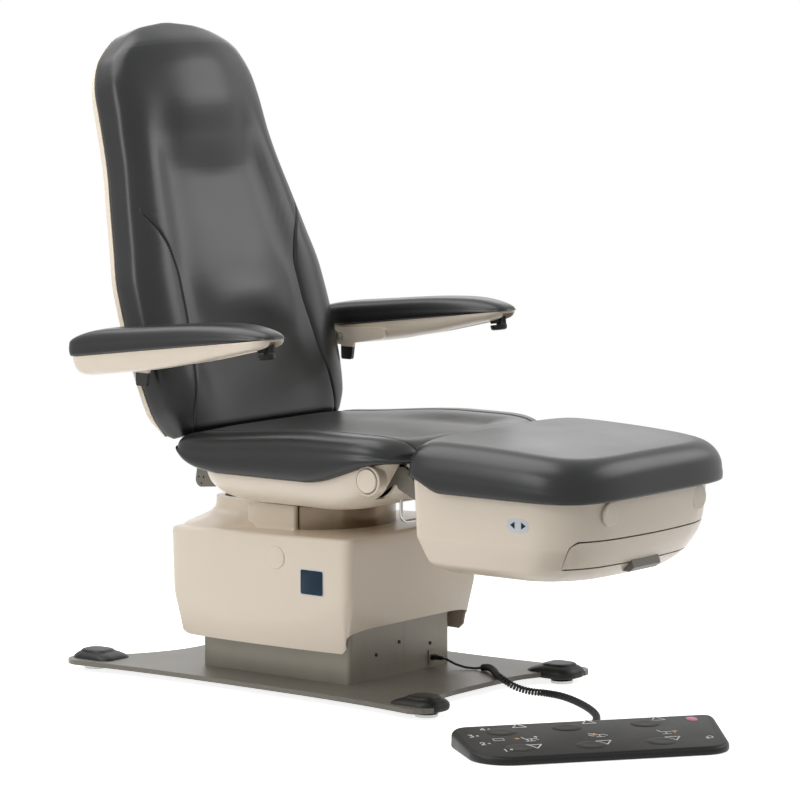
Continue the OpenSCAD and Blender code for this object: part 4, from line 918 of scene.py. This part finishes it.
def seatTop(x, y):
    u, v = np.abs(x) / seat["half"], (y + 110) / 258
    inside = 1 - smooth((u - 0.42) / 0.36)
    dish = (seat["roll"] - seat["dish"]) * inside * (1 - smooth((-v - 0.62) / 0.32))
    nose = 10 * smooth((-v - 0.55) / 0.5) ** 1.6
    tail = 21 * smooth((v + 0.25) / 1.25) * (1 - 0.88 * inside)
    return seat["roll"] - dish - nose - tail


def seatUnder(y):
    return seatLow(y) + curveAt([[55, 0], [98, 6], [125, 15], [142, 27], [158, 43]], np.asarray(y, float))


def seatGroove(u):
    d = (np.abs(u) - seat["seam"]) * seat["half"]
    return 2.6 * np.exp(-(d / 1.7) ** 2) + 0.6 * np.exp(-(d / 7) ** 2)


us, vs = seamLines(seat["half"], seat["seam"], 2.2, 72), easedLines(91, 0.4)
v, f, index = padGrid(seat["half"], -seat["front"], seat["rear"], 6, 14, us, vs, seatTop, seatUnder,
                      seat["edge"], seat["lowEdge"], seat["swell"], seatGroove, seat["ears"])
piece = build("seatCushion", (v, f), "upholstery", 60, "seat_cushion")
for side, name in ((-1, "seatStitchRight"), (1, "seatStitchLeft")):
    column = int(np.argmin(np.abs(us - side * (seat["seam"] + 4.5 / seat["half"]))))
    stitches(name, v[index[8:-6, column]], (0, 0, 1), "seat")

legPad = dict(half=260, front=769, rear=379, top=506, edge=52, lowEdge=14, swell=1.5)


def legTop(x, y):
    u, v = np.abs(x) / legPad["half"], (y + 570.5) / 191.5
    return legPad["top"] - 8 * u ** 3 - 22 * np.clip(0.5 - v / 2, 0, 1) ** 2.2


us = easedLines(81, 0.45)
v, f, _ = padGrid(legPad["half"], -legPad["front"], -legPad["rear"], 4.6, 14, us, us, legTop, legLow,
                  legPad["edge"], legPad["lowEdge"], legPad["swell"])
piece = build("legCushion", (v, f), "upholstery", 60, "leg_cushion")

# Back cushion, in the back's own frame; s runs up from its foot
backPad = dict(length=794, lean=17.45, at=(0, 195, 454), frontPlane=36, lumbar=18, head=24, seam=3.4)
tall = backPad["length"]
backWidth = [[0, 230], [50, 259], [130, 270], [210, 275], [290, 272], [370, 255], [450, 237], [530, 219],
             [610, 209], [670, 203], [720, 182], [760, 138], [785, 84], [tall, 20]]
backThick = [[0, 51], [150, 58], [350, 62], [500, 60], [560, 61], [640, 69], [735, 69], [tall, 50]]
seamAt = [[0, 0.90], [20, 0.86], [50, 0.79], [110, 0.71], [170, 0.66], [240, 0.63], [290, 0.63], [340, 0.69],
          [380, 0.79], [410, 0.88], [430, 0.93], [tall, 0.93]]
# Half of the rear outline, where the cover wraps round to the shell's edge: share of the width, and depth
backSide = [(0.999, 22), (0.997, 9), (0.99, 3), (0.975, 0.8), (0.955, 0.8), (0.94, 3), (0.932, 11), (0.9, 12),
            (0.7, 12), (0.45, 12), (0.15, 12)]


def onBack(points):
    return tilt(points, backPad["lean"], backPad["at"])


def backFront(u, s):
    gate = smooth(s / 110) * smooth((690 - s) / 190)
    edgeRoll = 15 * np.exp(-((np.abs(u) - 0.80) / 0.19) ** 2) * gate
    valley = -4 * np.exp(-((np.abs(u) - 0.55) / 0.16) ** 2) * gate
    lumbar = backPad["lumbar"] * bump(s, 252, 66) * np.clip(1 - (u / 0.56) ** 2, 0, 1)
    climb = np.clip(softplus((s - 486 - 70 * u * u) / 150, 0.04), 0, 1)
    head = backPad["head"] * np.sin(np.pi / 2 * climb) * smooth((800 - s) / 110) \
        * np.exp(-(np.abs(u) / 0.66) ** 2.6)
    return edgeRoll + valley + lumbar + head


def backEnds(s):
    # Rounds the foot and the head of the cushion, 1 in between
    foot = math.sin(math.pi / 2 * min(1, s / 26 + 0.45))
    return foot * math.sqrt(max(0.0, 1 - (1 - min(1, (tall - s) / 62 + 0.04)) ** 2))


def backDepth(u, s):
    h = np.clip(1 - np.abs(u) ** 3.4, 0, 1) ** (1 / 3.4)
    thick = float(curveAt(backThick, s)) - 24
    return backPad["frontPlane"] + (thick * h + backFront(u, s) * h) * backEnds(s)


rearShare, rearDepth = np.array(backSide).T
rearShare = np.concatenate([rearShare, -rearShare[::-1]])
rearDepth = np.concatenate([rearDepth, rearDepth[::-1]])
stops = np.unique(np.concatenate([tall * (0.5 - 0.5 * np.cos(np.linspace(0, np.pi, 61))),
                                  np.linspace(0, tall, 90), tall - 40 * np.linspace(0, 1, 9) ** 2]))
rows = []
for s in stops:
    w = float(curveAt(backWidth, s))
    u0 = min(float(curveAt(seamAt, s)), 1 - 16 / max(w, 60))
    fineLines = np.array([-9, -4.5, -2.4, -1.2, -0.5, 0, 0.5, 1.2, 2.4, 4.5, 9]) / w
    right = list(u0 + fineLines)
    right += list(1 - (1 - u0 - 9 / w) * (1 - np.sin(np.linspace(0, np.pi / 2, 15))[1:]))
    middle = np.linspace(-u0 + 9 / w, u0 - 9 / w, 27)[1:-1]
    us = np.array([-x for x in reversed(right)] + list(middle) + right)
    d = (np.abs(us) - u0) * w
    groove = backPad["seam"] * float(smooth((440 - s) / 25))
    groove = groove * (np.exp(-(d / 1.6) ** 2) + 0.3 * np.exp(-(d / 7) ** 2))
    front = np.column_stack([us * w, groove * backEnds(s) - backDepth(us, s), np.full(len(us), s)])
    behind = backPad["frontPlane"] - (backPad["frontPlane"] - rearDepth) * backEnds(s)
    rear = np.column_stack([rearShare * w, -behind, np.full(len(rearShare), s)])
    rows.append(np.concatenate([front, rear]))
v, f = loft(rows, True, True)
piece = build("backCushion", (onBack(v), f), "upholstery", 60, "back_cushion")
for side, name in ((-1, "backStitchRight"), (1, "backStitchLeft")):
    path = []
    for s in np.arange(14, 418, 4.0):
        w = float(curveAt(backWidth, s))
        u = float(curveAt(seamAt, s)) + 5.2 / w
        path.append((side * u * w, 0.35 - backDepth(u, s), s))
    stitches(name, onBack(path), (0, -0.953, 0.304), "back")

# Moulded shell behind the back cushion
backShell = dict(depth=19, wall=4, margin=2.5)
rows = []
for s in np.concatenate([[8], np.linspace(14, 770, 60), tall - 1 - np.array([16, 9, 4, 1.0])]):
    w = float(curveAt(backWidth, s)) - backShell["margin"]
    depth = backShell["depth"] * float(smooth(s / 60) * smooth((802 - s) / 200)) + 5
    a = np.linspace(0, np.pi, 61)
    x = w * np.sign(np.cos(a)) * np.abs(np.cos(a)) ** 0.45
    y = -0.3 + depth * np.sin(a) ** 0.42
    rows.append(np.column_stack([x, y, np.full(61, s)]))
v, f = loft(rows, True, True)
f = [face for face in f if len(face) > 4 or face[1] == face[0] + 1]  # open along the cushion
build("backShell", (onBack(v), f), "beige_moulding", 40, "back_shell", wall=backShell["wall"])
print("cushions built")

# Arms

arm = dict(x=350, length=468, half=46, slope=7.2, at=(289, 619), edge=22, lowEdge=5, swell=1.6, leverY=-434)


def onArm(points, side):
    return tilt(points, arm["slope"], (side * arm["x"], *arm["at"]))


def padTop(x, y):
    height = curveAt([[0, 46], [0.1, 47], [0.35, 44], [0.6, 40], [0.82, 32], [0.94, 24], [1, 19]],
                     -y / arm["length"])
    return height - 3 * (np.abs(x) / arm["half"]) ** 2.4


def armInset(t):
    return float(curveAt([[0, 3], [0.25, 3.2], [0.55, 5], [0.8, 9], [0.93, 15], [1, 24]], t))


housingDepth = [[-arm["length"], 14], [-400, 20], [-330, 27], [-300, 30], [-110, 37], [-30, 37], [10, 34]]
for side, tag in ((1, "Left"), (-1, "Right")):
    low = tag.lower()
    v, f, _ = padGrid(arm["half"], -arm["length"], 6, 3.4, 11, easedLines(31, 0), easedLines(71, 0.35), padTop,
                      np.zeros_like, arm["edge"], arm["lowEdge"], arm["swell"])
    piece = build("armPad" + tag, (onArm(v, side), f), "upholstery", 60, "arm_pad_" + low)
    rings = []
    for t in np.concatenate([[0, 0.12], np.linspace(0.25, 1, 16)]):
        d = armInset(t)
        p, _ = roundedRing(arm["half"] - d, 6 - arm["length"] + (d - 3) * 1.1, 4 - (d - 3) * 1.2, 38 - d * 0.7,
                           22 - d * 0.3, 10, 40)
        rings.append(np.column_stack([p, -0.3 - curveAt(housingDepth, p[:, 1]) * t]))
    last = rings[-1]
    rings.append(np.column_stack([mix(last.mean(0)[:2], last[:, :2], 0.5), last[:, 2]]))
    housing, faces = turned(loft(rings, True, True))
    # Room for the carrier, a notch for the lever and the pin's bore
    recess = prism([(205 - 191, 609 - 49), (205 - 171, 609 + 26), (330, 628), (330, 540), (14, 540)], 290, 308.2)
    v, f = slab(-17, 17, -arm["length"] - 10, 62 - arm["length"], -60, -5)
    bore = lathe([(1, 296), (8.05, 296), (8.05, 334.3), (1, 334.3)], 40, "x", (0, 205, 609))
    cuts = [tool if side > 0 else mirrored(tool) for tool in (recess, (onArm(v, 1), f), bore)]
    build("armHousing" + tag, (onArm(housing, side), faces), "beige_moulding", 35, "arm_housing_" + low, cuts=cuts)
    # Release lever: cup, stem and the toothed spring over it
    star = [(11.5 if k % 2 else 15.5, math.pi * k / 9) for k in range(18)]
    teeth = [[(r * math.cos(a), arm["leverY"] + r * math.sin(a), z) for r, a in star]
             for z in (-23, -20.5, -16, -13)]
    cup = lathe([(2, -36), (12, -36), (15.2, -34), (16.2, -28.5), (15.8, -26), (14.6, -26), (13, -28.5),
                 (5, -30), (4.2, -30), (4.2, -7), (1, -7)], 36, "z", (0, arm["leverY"], 0))
    bar = slab(-9, 9, arm["leverY"] - 12, arm["leverY"] - 7, -30, -10)
    v, f = join(cup, loft(teeth, True, True), bar)
    build("armLever" + tag, (onArm(v, side), f), "black_moulding", 35, "arm_lever_" + low)
print("arms built")

# Corner covers over the levelling feet

corner = dict(x=209, y=398)
# Height, half width, the two ends and their corner radii
coverRows = [[12, 38, -62, 36, 22, 30], [14, 39.4, -63.4, 37.4, 22, 30], [20, 40, -64, 38, 22, 30],
             [24, 39, -61, 36.5, 22, 28], [28, 36, -54, 33, 20, 26], [31, 32, -45, 29, 19, 23],
             [33, 28, -38, 25.5, 18, 21], [33.4, 27, -36, 24.5, 17, 20], [36, 25.5, -33, 23.5, 16, 20],
             [37.4, 23, -29, 21, 14, 18], [38, 19, -24, 17, 12, 15]]
covers = []
for sx, sy in ((1, 1), (1, -1), (-1, 1), (-1, -1)):
    rings = []
    for z, *shape in coverRows:
        outline, _ = roundedRing(*shape, 8, 4)
        rings.append([(sx * (corner["x"] + x), sy * (corner["y"] + y), z) for x, y in outline])
    part = loft(rings, True, True)
    covers.append(part if sx * sy > 0 else turned(part))
build("cornerCovers", join(*covers), "black_moulding", 30, "foot_covers")
print("base built")

# Studio

lights = dict(top=64, key=33, fill=38, rear=10, ambient=0.23, floorGlow=0.83, floorFrom=1.0, floorTo=1.9)


def areaLight(name, at, target, size):
    lamp = bpy.data.lights.new(name, "AREA")
    lamp.shape, lamp.size, lamp.size_y, lamp.energy = "RECTANGLE", size[0], size[1], lights[name]
    obj = bpy.data.objects.new(name, lamp)
    scene.collection.objects.link(obj)
    obj.location = at
    obj.rotation_mode = "QUATERNION"
    obj.rotation_quaternion = (Vector(target) - Vector(at)).to_track_quat("-Z", "Y")


areaLight("top", (-0.6, 0.9, 2.9), (0, -0.1, 0.2), (2.6, 2.4))
areaLight("key", (-3.0, 0.7, 1.85), (0, 0, 0.6), (1.4, 1.5))
areaLight("fill", (2.7, -2.1, 2.45), (0, 0.1, 0.9), (2.4, 1.8))
areaLight("rear", (2.8, 2.2, 1.9), (0, -0.5, 0.5), (2.4, 0.8))


def seenRays(tree):
    # 1 for rays from the camera, off glossy surfaces and through clear ones
    path = addNode(tree, "LightPath").outputs
    first = addNode(tree, "Math", feeds={0: path["Is Camera Ray"], 1: path["Is Glossy Ray"]},
                    operation="MAXIMUM")
    return addNode(tree, "Math", feeds={0: first.outputs[0], 1: path["Is Transmission Ray"]},
                   operation="MAXIMUM").outputs[0]


world = bpy.data.worlds.new("studio")
scene.world = world
world.use_nodes = True
tree = world.node_tree
tree.nodes.clear()
plain = addNode(tree, "Background", {"Color": (1, 1, 1, 1), "Strength": lights["ambient"]})
white = addNode(tree, "Background", {"Color": (1, 1, 1, 1), "Strength": 1.0})
shown = addNode(tree, "MixShader", feeds={0: seenRays(tree), 1: plain.outputs[0], 2: white.outputs[0]})
addNode(tree, "OutputWorld", feeds={"Surface": shown.outputs[0]})

# Seen by the camera and by reflections, the floor runs out into the white backdrop
floorMesh = bpy.data.meshes.new("floor")
floorMesh.from_pydata([(-30, -30, 0), (30, -30, 0), (30, 30, 0), (-30, 30, 0)], [], [(0, 1, 2, 3)])
floor = bpy.data.objects.new("floor", floorMesh)
scene.collection.objects.link(floor)
floorPaint = makeMaterial("studioFloor", (0.93, 0.93, 0.93), 0.9, 0.004, 0.5, grain=40, depth=0.01)
tree = floorPaint.node_tree
lit = tree.nodes["Principled BSDF"].outputs[0]
where = addNode(tree, "NewGeometry").outputs["Position"]
distance = addNode(tree, "VectorMath", feeds={0: where}, operation="LENGTH").outputs["Value"]
fade = addNode(tree, "MapRange", {"From Min": lights["floorFrom"], "From Max": lights["floorTo"]},
               {"Value": distance})
glow = addNode(tree, "Emission", {"Strength": lights["floorGlow"]})
white = addNode(tree, "Emission")
near = addNode(tree, "AddShader", feeds={0: lit, 1: glow.outputs[0]})
shown = addNode(tree, "MixShader", feeds={0: fade.outputs["Result"], 1: near.outputs[0], 2: white.outputs[0]})
shown = addNode(tree, "MixShader", feeds={0: seenRays(tree), 1: lit, 2: shown.outputs[0]})
tree.links.new(shown.outputs[0], tree.nodes["Material Output"].inputs["Surface"])
floorMesh.materials.append(floorPaint)
floor.location.z = -0.0005
floor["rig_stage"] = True

scene.view_settings.view_transform = "Standard"

low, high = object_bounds()
